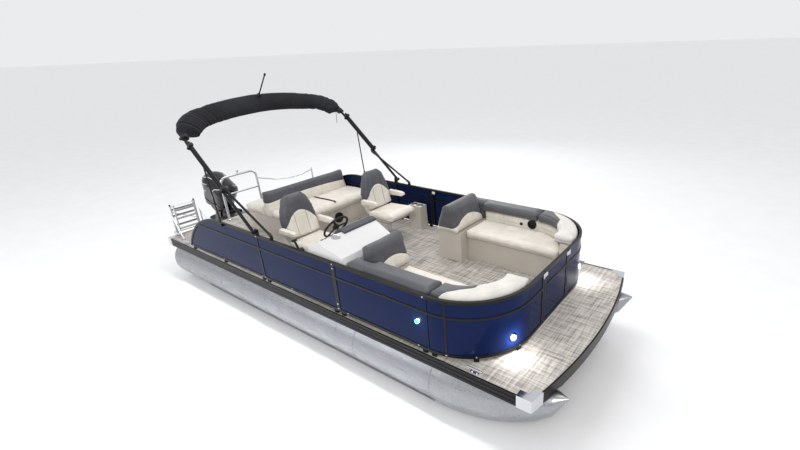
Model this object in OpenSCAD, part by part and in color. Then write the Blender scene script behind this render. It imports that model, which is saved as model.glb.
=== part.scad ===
// Twin-tube pontoon boat with fenced deck, helm, lounges, folded bimini and outboard.
// Frame: millimetres, +X towards the bow, +Y to port, +Z up, ground at z = 0
// (the boat stands on its keels), origin midway along the overall length.

/* [Hull] */
// Beam over the rub rails
beam = 2590; // [2400:2:2600]
// Radius of the two aluminium tubes
tube_r = 317.5; // [290:0.5:350]
// Half spacing of the tube centrelines
tube_y = 970; // [900:1:1000]
// Depth of the keel strip under each tube
keel_h = 20; // [10:1:40]
// Stern edge of the deck (fore-aft station)
stern_x = -3268; // [-3600:1:-2800]
// Foremost point of the bow platform on the centreline
bow_x = 3350; // [2800:1:3700]
// How far the bow edge bulges ahead of its corners
bow_bulge = 150; // [60:1:260]
// Height of the deck edge trim
trim_h = 116; // [80:1:140]

/* [Fence] */
// Height of the fence top above the floor covering
fence_h = 647; // [560:1:760]
// Clear gap under the fence
scupper = 40; // [20:1:60]
// Outer radius of the two fence corners at the bow
fence_corner = 710; // [400:5:900]
// Section of the fence rails
rail = 32; // [25:1:40]
// Clear width of the bow gate opening
bow_gate_w = 600; // [500:5:760]

/* [Seats] */
// Height of the seat cushions above the floor
seat_h = 440; // [380:5:500]
// Height of the side cushions above the floor
coaming_h = 680; // [600:5:720]
// Station of the helm chair pedestal
helm_chair_x = -230; // [-500:5:0]
// Distance of the helm chair from the centreline
helm_chair_y = 715; // [600:5:800]

/* [Bimini] */
// Angle of the folded top above level
bimini_slope = 41.4; // [30:0.1:70]
// Length of the bows from pivot to crown
bow_reach = 2030; // [1700:10:2300]

/* [Outboard] */
// How far the motor is tilted up where it is parked
park_tilt = 25; // [0:1:40]
// Blade count of the propeller
blades = 3; // [3:1:4]

/* [Hidden] */
$fn = 96;
e = 0.2;
x_home = 604.7;
tube_z = keel_h + tube_r;
tube_top = keel_h + 2 * tube_r;
deck_z = tube_top + 100;
half = beam / 2;
half_deck = half - 15;
bow_r = (half_deck * half_deck + bow_bulge * bow_bulge) / (2 * bow_bulge);
bow_c = bow_x - bow_r;
corner_x = bow_x - bow_bulge;
log_aft = -3290;
log_fore = 2090;
nose_tip = 3410;
fence_y = 1275;
fence_z0 = deck_z + scupper;
fence_z1 = deck_z + fence_h;
mid_z0 = deck_z + 455;
mid_z1 = mid_z0 + 25;
fence_front = 2840;
corner_cx = fence_front - fence_corner;
corner_cy = fence_y - fence_corner;
gate_post = bow_gate_w / 2;
side_gate_a = 205;
side_gate_b = 850;
seam_aft = -564;
seam_mid = 849;
seam_fore = 2130;
tail_cx = -1500;
tail_r = 1200;
side_end = corner_cx;
pivot = [-3740, 0, 690];
arch_w = 1292;
arch_corner = 450;
arch_crown = 3400;
crown_half = asin((arch_w - arch_corner) / (arch_crown - arch_corner));
arch_spring = bow_reach - arch_crown + (arch_crown - arch_corner) * cos(crown_half);
boot_r = 102;
mount_x = -555;
pivot_up = fence_h + 45;
navy = [0.09, 0.12, 0.38];
black = [0.05, 0.05, 0.055];
metal = [0.75, 0.76, 0.78];
chrome = [0.85, 0.86, 0.88];
cream = [0.86, 0.83, 0.77];
grey = [0.27, 0.27, 0.30];
white = [0.93, 0.92, 0.91];

module home() translate([x_home, 0, 0]) children();
module twins() { children(); mirror([0, 1, 0]) children(); }
module box(a, b) translate([min(a[0], b[0]), min(a[1], b[1]), min(a[2], b[2])])
  cube([abs(b[0] - a[0]), abs(b[1] - a[1]), abs(b[2] - a[2])]);
// Round bar from a to b
module bar(a, b, r) {
  d = b - a;
  l = norm(d);
  translate(a) rotate([0, acos(d[2] / l), atan2(d[1], d[0])]) cylinder(r = r, h = l, $fn = 32);
}
// Side profile in the X-Z plane, drawn through from y0 to y1
module slice(pts, y0, y1) translate([0, y1, 0]) rotate([90, 0, 0]) linear_extrude(y1 - y0) polygon(pts);

// ---- Hull -------------------------------------------------------------
module deck_slab(z0, z1, grow = 0) intersection() {
  translate([bow_c, 0, z0]) cylinder(r = bow_r + grow, h = z1 - z0, $fn = 360);
  box([stern_x - grow, -half_deck - grow, z0], [bow_x + 100, half_deck + grow, z1]);
}
module tube_log(s) translate([0, s * tube_y, tube_z]) {
  difference() {
    union() {
      translate([log_aft, 0, 0]) rotate([0, 90, 0]) cylinder(r = tube_r, h = log_fore - log_aft, $fn = 128);
      for (x = [-2120, -735, 680]) translate([x - 7, 0, 0]) rotate([0, 90, 0]) cylinder(r = tube_r + 2, h = 14, $fn = 128);
      translate([log_fore - 20, 0, 0]) rotate([0, 90, 0]) cylinder(r = tube_r + 2.5, h = 20, $fn = 128);
      // Keel strip and the two lifting strakes
      box([log_aft + 120, -16, -tube_z], [log_fore, 16, -tube_r + 12]);
      for (m = [-1, 1]) scale([1, m, 1]) translate([0, tube_r * 0.72, -tube_r * 0.69])
        rotate([90, 0, 90]) translate([0, 0, log_aft + 900]) linear_extrude(log_fore - log_aft - 900)
          polygon([[-20, 20], [8, -24], [34, 24]]);
    }
    translate([log_aft - 1, 0, 0]) rotate([0, 90, 0]) cylinder(r = tube_r - 22, h = 13, $fn = 128);
  }
}
// Nose cone: the round section shrinks to the tip while its crown stays nearly level
nose_n = 11;
nose_m = 48;
function nose_rad(t) = tube_r * pow(max(0, 1 - pow(t, 2.15)), 0.62) + 9;
function nose_crown(t) = tube_r - 14 * t * t;
module nose(s) {
  pts = [for (i = [0:nose_n]) let(t = i / nose_n, r = i == 0 ? tube_r : nose_rad(t), x = log_fore + e + (nose_tip - log_fore) * t)
    for (j = [0:nose_m - 1]) let(a = 360 * j / nose_m) [x, r * 0.97 * cos(a) * (1 - 0.1 * t) / 0.97, nose_crown(t) - r + r * sin(a)]];
  faces = concat(
    [[for (j = [0:nose_m - 1]) j]],
    [[for (j = [nose_m - 1:-1:0]) nose_n * nose_m + j]],
    [for (i = [0:nose_n - 1]) for (j = [0:nose_m - 1]) let(k = (j + 1) % nose_m)
      [i * nose_m + j, (i + 1) * nose_m + j, (i + 1) * nose_m + k]],
    [for (i = [0:nose_n - 1]) for (j = [0:nose_m - 1]) let(k = (j + 1) % nose_m)
      [i * nose_m + j, (i + 1) * nose_m + k, i * nose_m + k]]);
  translate([0, s * tube_y, tube_z]) polyhedron(pts, faces);
}
module tubes() color(metal) home() for (s = [-1, 1]) tube_log(s);
module tube_noses() color(metal) home() for (s = [-1, 1]) nose(s);
// Long brackets that carry the deck beams on the tubes
module risers() color(metal) home() twins() translate([0, tube_y, 0]) difference() {
  box([-3240, -150, tube_top - 52], [2960, 150, tube_top + 6]);
  box([-3241, -144, tube_top - 60], [2961, 144, tube_top + 2]);
  translate([-3300, 0, tube_z]) rotate([0, 90, 0]) cylinder(r = tube_r + 4, h = 6400, $fn = 128);
}
module cross_members() color(metal) home() for (i = [0:15]) translate([-3190 + i * 410, 0, 0]) difference() {
  box([-20, -1250, tube_top + 6 + e], [20, 1250, deck_z - 26 - e]);
  box([-16, -1251, tube_top + 10 + e], [21, 1251, deck_z - 30 - e]);
}
// Buoyant pod with the transom plate for the outboard
module motor_pod() color(metal) home() {
  difference() {
    slice([[-3640, 690], [-3600, 690], [-3500, tube_top], [-2250, tube_top], [-2700, 330], [-3560, 180], [-3640, 180]], -290, 290);
    for (m = [-1, 1]) translate([0, m * 290, 180]) rotate([m * 28, 0, 0]) box([-3700, -120, -330], [-2200, 120, 60]);
  }
}
module deck() color([0.5, 0.42, 0.32]) home() deck_slab(deck_z - 26, deck_z - 4 - e);
module floor_covering() color([0.62, 0.58, 0.55]) home() deck_slab(deck_z - 4, deck_z, -6);
module cap_zone(g = 0) for (m = [-1, 1]) {
  box([corner_x - 130 - g, m * (half - 150 - g), 500], [corner_x + 120, m * (half + 60), 900]);
  box([stern_x - 60, m * (half - 120 - g), 500], [stern_x + 90 + g, m * (half + 60), 900]);
}
module rub_rail() color(black) home() difference() {
  deck_slab(deck_z - trim_h, deck_z + 3, 15);
  deck_slab(deck_z - trim_h - 1, deck_z + 4, e);
  for (z = [deck_z - 84, deck_z - 40]) for (m = [-1, 1])
    box([stern_x + 60, m * (half - 4), z], [corner_x - 60, m * (half + 5), z + 12]);
  cap_zone(e);
  // Clear of the tubes and the motor pod
  for (m = [-1, 1]) translate([-3400, m * tube_y, tube_z]) rotate([0, 90, 0]) cylinder(r = tube_r + 1.5, h = 7000, $fn = 128);
  box([-3700, -292, 560], [-3100, 292, tube_top + 1.5]);
}
module corner_caps() color(chrome) home() intersection() {
  cap_zone();
  difference() {
    deck_slab(deck_z - trim_h - 4, deck_z + 8, 18);
    deck_slab(deck_z - trim_h - 5, deck_z + e, e);
    deck_slab(deck_z - 1, deck_z + 9, -60);
  }
}
module cleats() color(chrome) home() for (p = [[-2740, -1250], [-2870, 1250], [2625, -1250], [2625, 1250]]) translate([p[0], p[1], deck_z + e]) {
  box([-45, -14, 0], [45, 14, 6]);
  for (dx = [-26, 26]) translate([dx, 0, 5]) cylinder(r = 8, h = 32, $fn = 24);
  translate([-85, 0, 40]) rotate([0, 90, 0]) cylinder(r = 9, h = 170, $fn = 24);
}

// ---- Fence ------------------------------------------------------------
// Aft-end outline of the fence side, inset by t all round; the top sweeps down in an arc
module tail_shape(t, y0, y1) intersection() {
  box([-2700, y0, fence_z0 + t], [seam_aft, y1, fence_z1 - t]);
  union() {
    box([tail_cx, y0, fence_z0], [seam_aft, y1, fence_z1]);
    translate([tail_cx, y0, fence_z1 - tail_r]) rotate([-90, 0, 0]) cylinder(r = tail_r - t, h = y1 - y0, $fn = 256);
  }
}
module tail_frame() {
  yo = fence_y;
  yi = fence_y - rail;
  difference() {
    tail_shape(0, yi, yo);
    difference() {
      tail_shape(rail, yi - 1, yo + 1);
      box([-2700, yi - 2, mid_z0], [seam_aft + 1, yo + 2, mid_z1]);
      box([seam_aft - 12, yi - 2, fence_z0], [seam_aft + 1, yo + 2, fence_z1]);
    }
  }
  for (x = [-2440, -1560, seam_aft - 60]) box([x - 25, yi + 4, deck_z + e], [x + 25, yo - 4, fence_z0 + 1]);
}
module tail_panel() difference() {
  tail_shape(rail + e, fence_y - 9, fence_y - 6);
  box([-2700, fence_y - 10, mid_z0 - e], [seam_aft + 1, fence_y - 4, mid_z1 + e]);
  box([seam_aft - 12 - e, fence_y - 10, fence_z0], [seam_aft + 1, fence_y - 4, fence_z1]);
}
module straight_frame(x0, x1, wa, wb) {
  yo = fence_y;
  yi = fence_y - rail;
  difference() {
    box([x0, yi, fence_z0], [x1, yo, fence_z1]);
    box([x0 + wa, yi - 1, fence_z0 + rail], [x1 - wb, yo + 1, mid_z0]);
    box([x0 + wa, yi - 1, mid_z1], [x1 - wb, yo + 1, fence_z1 - rail]);
  }
  for (x = [x0 + 60, x1 - 60]) box([x - 25, yi + 4, deck_z + e], [x + 25, yo - 4, fence_z0 + 1]);
}
module straight_panel(x0, x1, wa, wb) {
  y0 = fence_y - 9;
  box([x0 + wa + e, y0, fence_z0 + rail + e], [x1 - wb - e, y0 + 3, mid_z0 - e]);
  box([x0 + wa + e, y0, mid_z1 + e], [x1 - wb - e, y0 + 3, fence_z1 - rail - e]);
}
// Rounded bow corner with the short front run up to the gate opening
module ring_piece(r0, r1, z0, z1, a0, a1, yend) {
  translate([corner_cx, corner_cy, z0]) rotate([0, 0, a0]) rotate_extrude(angle = a1 - a0, $fn = 256) translate([r0, 0]) square([r1 - r0, z1 - z0]);
  if (a0 == 0) box([corner_cx + r0, yend, z0], [corner_cx + r1, corner_cy, z1]);
}
seam_angle = 75;
module corner_frame() {
  r1 = fence_corner;
  r0 = fence_corner - rail;
  for (z = [[fence_z0, fence_z0 + rail], [mid_z0, mid_z1], [fence_z1 - rail, fence_z1]])
    ring_piece(r0, r1, z[0], z[1], 0, 89.98, gate_post);
  translate([corner_cx, corner_cy, 0]) rotate([0, 0, seam_angle]) box([r0 + 2, -12, fence_z0 + 1], [r1 - 2, 12, fence_z1 - 1]);
  box([corner_cx + r0, gate_post, fence_z0], [corner_cx + r1, gate_post + 34, fence_z1]);
  for (a = [15, 52, 86]) translate([corner_cx, corner_cy, 0]) rotate([0, 0, a]) box([r0 + 4, -25, deck_z + e], [r1 - 4, 25, fence_z0 + 1]);
}
module corner_panel() {
  r = fence_corner - 9;
  for (z = [[fence_z0 + rail + e, mid_z0 - e], [mid_z1 + e, fence_z1 - rail - e]]) {
    ring_piece(r, r + 3, z[0], z[1], 0, seam_angle - 1.05, gate_post + 34 + e);
    ring_piece(r, r + 3, z[0], z[1], seam_angle + 1.05, 89.9, 0);
  }
}
module fence_side_starboard() color(black) home() mirror([0, 1, 0]) {
  tail_frame();
  straight_frame(seam_aft, seam_mid, 12, 30);
  straight_frame(seam_mid, corner_cx - e, 30, 6);
}
module fence_side_port() color(black) home() {
  tail_frame();
  straight_frame(seam_aft, side_gate_a - 6, 12, 40);
  straight_frame(side_gate_b + 6, corner_cx - e, 40, 6);
}
module fence_bow_starboard() color(black) home() mirror([0, 1, 0]) corner_frame();
module fence_bow_port() color(black) home() corner_frame();
module side_panels_starboard() color(navy) home() mirror([0, 1, 0]) {
  tail_panel();
  straight_panel(seam_aft, seam_mid, 12, 30);
  straight_panel(seam_mid, corner_cx - e, 30, 6);
}
module side_panels_port() color(navy) home() {
  tail_panel();
  straight_panel(seam_aft, side_gate_a - 6, 12, 40);
  straight_panel(side_gate_b + 6, corner_cx - e, 40, 6);
}
module bow_panels() color(navy) home() twins() corner_panel();
module leaf_frame(w) difference() {
  box([0, 0, fence_z0], [w, rail, fence_z1]);
  box([28, -1, fence_z0 + rail], [w - 28, rail + 1, mid_z0]);
  box([28, -1, mid_z1], [w - 28, rail + 1, fence_z1 - rail]);
}
module leaf_panel(w) {
  box([28 + e, rail - 9, fence_z0 + rail + e], [w - 28 - e, rail - 6, mid_z0 - e]);
  box([28 + e, rail - 9, mid_z1 + e], [w - 28 - e, rail - 6, fence_z1 - rail - e]);
}
// Bow gate: the leaf hangs on the port post and swings inwards
module bow_leaf() translate([fence_front - rail, gate_post - 6, 0]) rotate([0, 0, -90]) children();
module bow_gate_frame() color(black) home() bow_leaf() {
  leaf_frame(bow_gate_w - 12);
  // Hinge knuckles
  for (z = [fence_z0 + 90, fence_z1 - 130]) translate([-3, -9, z]) cylinder(r = 8, h = 60, $fn = 24);
  for (z = [fence_z0 + 90, fence_z1 - 130]) box([-2, -8, z + 5], [20, 0.5, z + 55]);
}
module bow_gate_panel() color(navy) home() bow_leaf() leaf_panel(bow_gate_w - 12);
module side_gate_frame() color(black) home() translate([side_gate_a, fence_y - rail, 0]) {
  leaf_frame(side_gate_b - side_gate_a);
  for (z = [fence_z0 + 90, fence_z1 - 130]) translate([side_gate_b - side_gate_a + 3, -9, z]) cylinder(r = 8, h = 60, $fn = 24);
  for (z = [fence_z0 + 90, fence_z1 - 130]) box([side_gate_b - side_gate_a - 20, -8, z + 5], [side_gate_b - side_gate_a + 2, 0.5, z + 55]);
}
module side_gate_panel() color(navy) home() translate([side_gate_a, fence_y - rail, 0]) leaf_panel(side_gate_b - side_gate_a);

// ---- Helm -------------------------------------------------------------
module up() translate([0, 0, deck_z]) children();
// Prism over a plan outline
module plan(pts, z0, z1) translate([0, 0, z0]) linear_extrude(z1 - z0) polygon(pts);
module helm_console() color(white) home() up() {
  difference() {
    intersection() {
      slice([[360, e], [330, 520], [345, 600], [470, 745], [600, 800], [985, 705], [1012, 640], [1012, e]], -1300, 0);
      plan([[200, -1232], [1020, -1232], [1020, -520], [985, -485], [420, -345], [200, -345]], 0, 900);
    }
    // Footwell
    box([299, -1000, 60], [500, -470, 470]);
    // Cup holder
    translate([640, -1010, 700]) cylinder(r = 42, h = 200, $fn = 48);
  }
  // Narrow side pod for the throttle, along the fence
  box([95, -1232, e], [331, -1156, 560]);
}
module dash_hood() color(grey) home() up() slice([[472, 746.3], [600, 800.3], [655, 787], [648, 812], [600, 828], [540, 818], [480, 774]], -890, -392);
module steering_wheel() color(black) home() translate([285, -715, deck_z + 735]) rotate([0, -55, 0]) {
  rotate_extrude($fn = 96) translate([165, 0]) circle(r = 13, $fn = 24);
  translate([0, 0, -16]) cylinder(r = 42, h = 30, $fn = 48);
  for (a = [90, 210, 330]) rotate([0, 0, a]) box([30, -14, -6], [158, 14, 4]);
  translate([0, 0, -130]) cylinder(r = 16, h = 120, $fn = 32);
}
module throttle() color(black) home() translate([205, -1194, deck_z + 560 + e]) {
  box([-70, -34, 0], [70, 34, 14]);
  translate([0, 30, 34]) rotate([90, 0, 0]) cylinder(r = 30, h = 60, $fn = 48);
  rotate([0, -32, 0]) box([-11, -8, 30], [11, 8, 165]);
  rotate([0, -32, 0]) translate([0, 28, 165]) rotate([90, 0, 0]) cylinder(r = 17, h = 56, $fn = 32);
}

// ---- Chairs -----------------------------------------------------------
helm_at = [helm_chair_x, -helm_chair_y, 0];
captain_at = [-150, 600, 0];
module pedestal() {
  translate([0, 0, e]) cylinder(r = 115, h = 12, $fn = 64);
  translate([0, 0, 10]) cylinder(r = 60, h = 40, $fn = 48);
  translate([0, 0, 10]) cylinder(r = 36, h = 300, $fn = 48);
}
module chair_seat() {
  translate([0, 0, 310.5]) cylinder(r = 90, h = 25, $fn = 48);
  box([-190, -225, 335], [240, 225, 372]);
  slice([[-170, 371], [250, 371], [322, 392], [340, 440], [318, 482], [250, 497], [60, 484], [-120, 470], [-170, 470]], -248, 248);
}
module chair_back() intersection() {
  slice([[-196, 400], [-176, 478], [-118, 500], [-150, 640], [-205, 960], [-240, 1035], [-290, 1045], [-318, 1000], [-305, 700], [-262, 400]], -250, 250);
  rotate([90, 0, 90]) translate([0, 0, -400]) linear_extrude(400)
    polygon([[-200, 395], [200, 395], [238, 520], [245, 720], [222, 850], [172, 985], [110, 1050], [-110, 1050], [-172, 985], [-222, 850], [-245, 720], [-238, 520]]);
}
module chair_arms() for (m = [-1, 1]) {
  translate([0, m * 286, 0]) slice([[-222, 575], [60, 590], [100, 620], [88, 655], [30, 668], [-205, 668], [-228, 640]], -32, 32);
  box([-222, m * 255, 592], [-195, m * 247, 640]);
}
module chair_pedestals() color(chrome) home() up() {
  translate(helm_at) pedestal();
  translate(captain_at) pedestal();
}
module helm_seat() color(cream) home() up() translate(helm_at) {
  chair_seat();
  chair_arms();
}
module helm_backrest() color(grey) home() up() translate(helm_at) chair_back();
module captain_seat() color(cream) home() up() translate(captain_at) {
  chair_seat();
  chair_arms();
}
module captain_backrest() color(grey) home() up() translate(captain_at) chair_back();

// ---- Bow lounges ------------------------------------------------------
pad_out = fence_corner - rail - 10;
side_in = fence_y - rail - 10;
module quarter(r0, r1, z0, z1) translate([corner_cx, corner_cy, z0]) rotate_extrude(angle = 90, $fn = 128)
  translate([r0, 0]) square([r1 - r0, z1 - z0]);
module bow_bench_bases() color(cream) home() up() {
  twins() {
    box([1291, 640, e], [corner_cx, 1045, 320]);
    intersection() {
      quarter(0, 480, e, 320);
      box([corner_cx - 1, 640, 0], [3000, 1300, 400]);
    }
    box([1291, 1040, e], [corner_cx, side_in, 320]);
    quarter(479, pad_out, e, 320);
  }
  box([915, 465, e], [1292, side_in, 424]);
  box([1035, -side_in, e], [1292, -520, 424]);
}
module bow_bench_seats() color(cream) home() up() twins() {
  box([1293, corner_cy, 321], [corner_cx + 1, corner_cy + 476, seat_h]);
  quarter(0, 476, 321, seat_h);
}
module bow_side_pads() color(cream) home() up() twins() {
  box([1293, corner_cy + 480, 321], [corner_cx - 0.5, side_in, coaming_h - 111]);
  quarter(480, pad_out, 321, coaming_h - 111);
}
module bow_coamings() color(grey) home() up() {
  for (m = [-1, 1]) box([1293, m * (corner_cy + 425), coaming_h - 110], [corner_cx - 0.5, m * side_in, coaming_h]);
  box([1018, -side_in, 425], [1292, -1052, coaming_h]);
  box([915, side_in, 425], [1292, 1052, coaming_h]);
}
module bow_corner_pads() color(white) home() up() twins() {
  quarter(425, pad_out, coaming_h - 110, coaming_h);
  box([corner_cx + 425, corner_cy - 45, coaming_h - 110], [corner_cx + pad_out, corner_cy, coaming_h]);
}
module bow_backrests() color(grey) home() up() {
  slice([[935, 425], [1285, 425], [1290, 470], [1205, 745], [1165, 800], [1105, 812], [1040, 775], [960, 560]], 392, 1048);
  slice([[1038, 425], [1285, 425], [1290, 470], [1215, 745], [1180, 808], [1125, 822], [1065, 780], [1038, 560]], -1048, -505);
}

// ---- Stern lounge -----------------------------------------------------
lounge_y = -335;
module stern_lounge_base() color(cream) home() up() box([-2480, lounge_y + 40, e], [-1180, side_in, 300]);
module stern_lounge_seats() color(cream) home() up() {
  slice([[-1765, 301], [-1140, 301], [-1105, 340], [-1110, 420], [-1150, 446], [-1765, 430]], lounge_y, side_in);
  slice([[-2500, 301], [-1975, 301], [-1975, 470], [-2480, 430], [-2510, 390]], lounge_y, side_in);
}
module stern_lounge_back() color(grey) home() up()
  slice([[-1970, 301], [-1770, 301], [-1772, 430], [-1838, 690], [-1870, 722], [-1920, 722], [-1950, 690], [-1970, 480]], lounge_y, side_in);
module drink_holder() color(cream) home() up() difference() {
  intersection() {
    translate([-25, 1140, e]) linear_extrude(385, scale = 0.94) square([250, 170], center = true);
    box([-400, 900, 0], [400, 1231, 390]);
  }
  for (dx = [-58, 58]) translate([-25 + dx, 1140, 300]) cylinder(r = 40, h = 200, $fn = 48);
}

// ---- Bimini -----------------------------------------------------------
// Inverted U in its own Y-Z plane: straight legs up Z, feet at the origin
module arch(w, len, r, cr) {
  for (m = [-1, 1]) {
    translate([0, m * w, 0]) cylinder(r = r, h = len - cr, $fn = 32);
    translate([0, m * (w - cr), len - cr]) rotate([90, 0, m > 0 ? 90 : -90]) rotate_extrude(angle = 90, $fn = 96) translate([cr, 0]) circle(r = r, $fn = 32);
  }
  translate([0, w - cr, len]) rotate([90, 0, 0]) cylinder(r = r, h = 2 * (w - cr), $fn = 32);
}
module bimini_plane() translate([mount_x, 0, deck_z + pivot_up]) rotate([0, bimini_slope - 90, 0]) children();
// Corner and crown arcs of the bow, with any profile swept along them
module corner_sweep(m, a0, a1) translate([0, m * (arch_w - arch_corner), arch_spring]) rotate([90, 0, m > 0 ? 90 : -90])
  rotate([0, 0, a0]) rotate_extrude(angle = a1 - a0, $fn = 128) translate([arch_corner, 0]) children();
module crown_sweep(half) translate([0, 0, bow_reach - arch_crown]) rotate([90, 0, 90])
  rotate([0, 0, 90 - half]) rotate_extrude(angle = 2 * half, $fn = 720) translate([arch_crown, 0]) children();
module bimini_frame() color(black) home() bimini_plane() {
  for (m = [-1, 1]) {
    translate([0, m * arch_w, 0]) cylinder(r = 20, h = arch_spring, $fn = 32);
    corner_sweep(m, 0, 90 - crown_half) circle(r = 20, $fn = 32);
    // Second bow's leg lying along the main one, held by two clamps
    translate([46, m * arch_w, 640]) cylinder(r = 17, h = 830, $fn = 32);
    for (z = [660, 1400]) translate([-26, m * arch_w - 26, z]) cube([96, 52, 40]);
    // Pivot eye
    translate([0, m * arch_w + 24, 0]) rotate([90, 0, 0]) cylinder(r = 26, h = 48, $fn = 48);
  }
  crown_sweep(crown_half) circle(r = 20, $fn = 32);
}
// Braces up to the legs, and the light struts the folded top rests on
module bimini_struts() color(black) home() twins() {
  bar([-262, arch_w - 44, deck_z + pivot_up], [-1035, arch_w - 44, deck_z + 1116], 15);
  bar([-1335, arch_w, deck_z + 660], [-1395, arch_w, deck_z + 1396], 9);
}
// Fabric boot zipped round the stowed top, in lengths that meet along the arch
module boot_ring() difference() {
  circle(r = boot_r, $fn = 48);
  circle(r = 20 + e, $fn = 32);
}
module bimini_boot() color(black) home() bimini_plane() {
  for (m = [-1, 1]) corner_sweep(m, 20, 90 - crown_half - 0.05) boot_ring();
  crown_sweep(crown_half - 0.01) boot_ring();
}
// Outboard brackets on the fence that carry the legs, braces and struts
module bimini_mounts() color(black) home() twins() {
  box([mount_x - 34, fence_y - 28, fence_z1 + e], [mount_x + 34, fence_y - 14, fence_z1 + 75]);
  box([mount_x - 20, fence_y - 15, fence_z1 + 20], [mount_x + 20, arch_w - 27, fence_z1 + 70]);
  box([-286, fence_y - 36, fence_z1 + e], [-238, fence_y - 18, fence_z1 + 28]);
  box([-1355, fence_y + e, deck_z + 610], [-1315, arch_w + 14, deck_z + 652]);
}
module mast_light() color(black) home() bimini_plane() translate([boot_r + 1, 10, bow_reach - 2]) rotate([0, 90, 0]) {
  cylinder(r = 24, h = 30, $fn = 32);
  translate([0, 0, 29]) cylinder(r = 9, h = 365, $fn = 24);
  translate([0, 0, 393]) cylinder(r = 15, h = 26, $fn = 32);
}

// ---- Stern fittings ---------------------------------------------------
module tow_bar() color(chrome) home() {
  translate([-3150, 0, deck_z + e]) arch(330, 755, 19, 110);
  bar([-3150, -330, deck_z + 450], [-3150, 330, deck_z + 450], 14);
  translate([-3150, 0, deck_z + 755]) {
    cylinder(r = 12, h = 50, $fn = 32);
    translate([0, 0, 50]) cylinder(r = 24, h = 16, $fn = 32);
  }
  for (m = [-1, 1]) translate([-3150, m * 330, deck_z + e]) cylinder(r = 45, h = 8, $fn = 48);
}
module stern_rail() color(chrome) home() up() {
  pts = [[-3150, 352, 600], [-3080, 620, 515], [-2980, 880, 490], [-2860, 1080, 525], [-2730, 1215, 610]];
  for (i = [0:3]) bar(pts[i], pts[i + 1], 9);
  for (i = [1:3]) translate(pts[i]) sphere(r = 12, $fn = 32);
  translate([-2730, 1215, e]) cylinder(r = 14, h = 640, $fn = 32);
  translate([-2730, 1215, e]) cylinder(r = 38, h = 8, $fn = 48);
}
lad_x = -3318;
lad_y = -938;
lad_hinge = 34;
lad_top = 470;
module ladder_bracket() color(chrome) home() up() {
  for (m = [-1, 1]) {
    difference() {
      union() {
        box([-3264, lad_y + m * 206, e], [-3130, lad_y + m * 230, 50]);
        box([lad_x - 22, lad_y + m * 206, 8], [-3250, lad_y + m * 230, 58]);
      }
      translate([lad_x, lad_y, lad_hinge]) rotate([90, 0, 0]) cylinder(r = 8.2, h = 600, center = true, $fn = 32);
    }
    // Grab handle beside the ladder
    bar([-3262, lad_y + m * 218, 40], [-3262, lad_y + m * 218, 330], 10);
    translate([-3262, lad_y + m * 218, 330]) sphere(r = 12, $fn = 32);
    bar([-3262, lad_y + m * 218, 330], [-2960, lad_y + m * 250, 9], 10);
    translate([-2960, lad_y + m * 250, e]) cylinder(r = 22, h = 8, $fn = 32);
  }
}
module ladder() color(chrome) home() up() {
  for (m = [-1, 1]) {
    bar([lad_x, lad_y + m * 185, 18], [lad_x, lad_y + m * 185, 494], 12);
    // Lug for the folding lower half
    box([lad_x, lad_y + m * 179, lad_top - 12], [lad_x + 34, lad_y + m * 191, lad_top + 12]);
  }
  translate([lad_x, lad_y, lad_hinge]) rotate([90, 0, 0]) cylinder(r = 8, h = 470, center = true, $fn = 32);
  translate([lad_x + 20, lad_y, lad_top]) rotate([90, 0, 0]) cylinder(r = 5, h = 364, center = true, $fn = 32);
  for (z = [130, 290, 396]) box([lad_x - 26, lad_y - 182, z], [lad_x + 8, lad_y + 182, z + 20]);
}
module ladder_lower() color(chrome) home() up() difference() {
  union() {
    for (m = [-1, 1]) {
      bar([lad_x + 42, lad_y + m * 152, 60], [lad_x + 42, lad_y + m * 152, 488], 11);
      box([lad_x + 8, lad_y + m * 147, lad_top - 11], [lad_x + 42, lad_y + m * 157, lad_top + 11]);
    }
    for (z = [80, 250, 388]) box([lad_x + 26, lad_y - 150, z], [lad_x + 60, lad_y + 150, z + 20]);
  }
  translate([lad_x + 20, lad_y, lad_top]) rotate([90, 0, 0]) cylinder(r = 5.3, h = 400, center = true, $fn = 32);
}

// ---- Outboard (drawn upright about its tilt pivot, then tilted) --------
module motor() home() translate(pivot) rotate([0, park_tilt, 0]) children();
module clamp_bracket() color(black) home() translate(pivot) {
  difference() {
    for (m = [-1, 1]) {
      box([-34, m * 112, -330], [99.5, m * 138, 42]);
      translate([0, m * 125 + 13, 0]) rotate([90, 0, 0]) cylinder(r = 42, h = 26, $fn = 64);
    }
    rotate([90, 0, 0]) cylinder(r = 18.2, h = 400, center = true, $fn = 48);
  }
  for (m = [-1, 1]) box([60, m * 112, 2], [160, m * 138, 42]);
}
module swivel_bracket() color(black) motor() {
  rotate([90, 0, 0]) cylinder(r = 18, h = 276, center = true, $fn = 48);
  difference() {
    union() {
      rotate([90, 0, 0]) cylinder(r = 40, h = 214, center = true, $fn = 64);
      box([-150, -70, -250], [0, 70, 36]);
      translate([-150, 0, -330]) cylinder(r = 52, h = 380, $fn = 64);
    }
    translate([-150, 0, -400]) cylinder(r = 30.2, h = 500, $fn = 48);
  }
}
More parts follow.
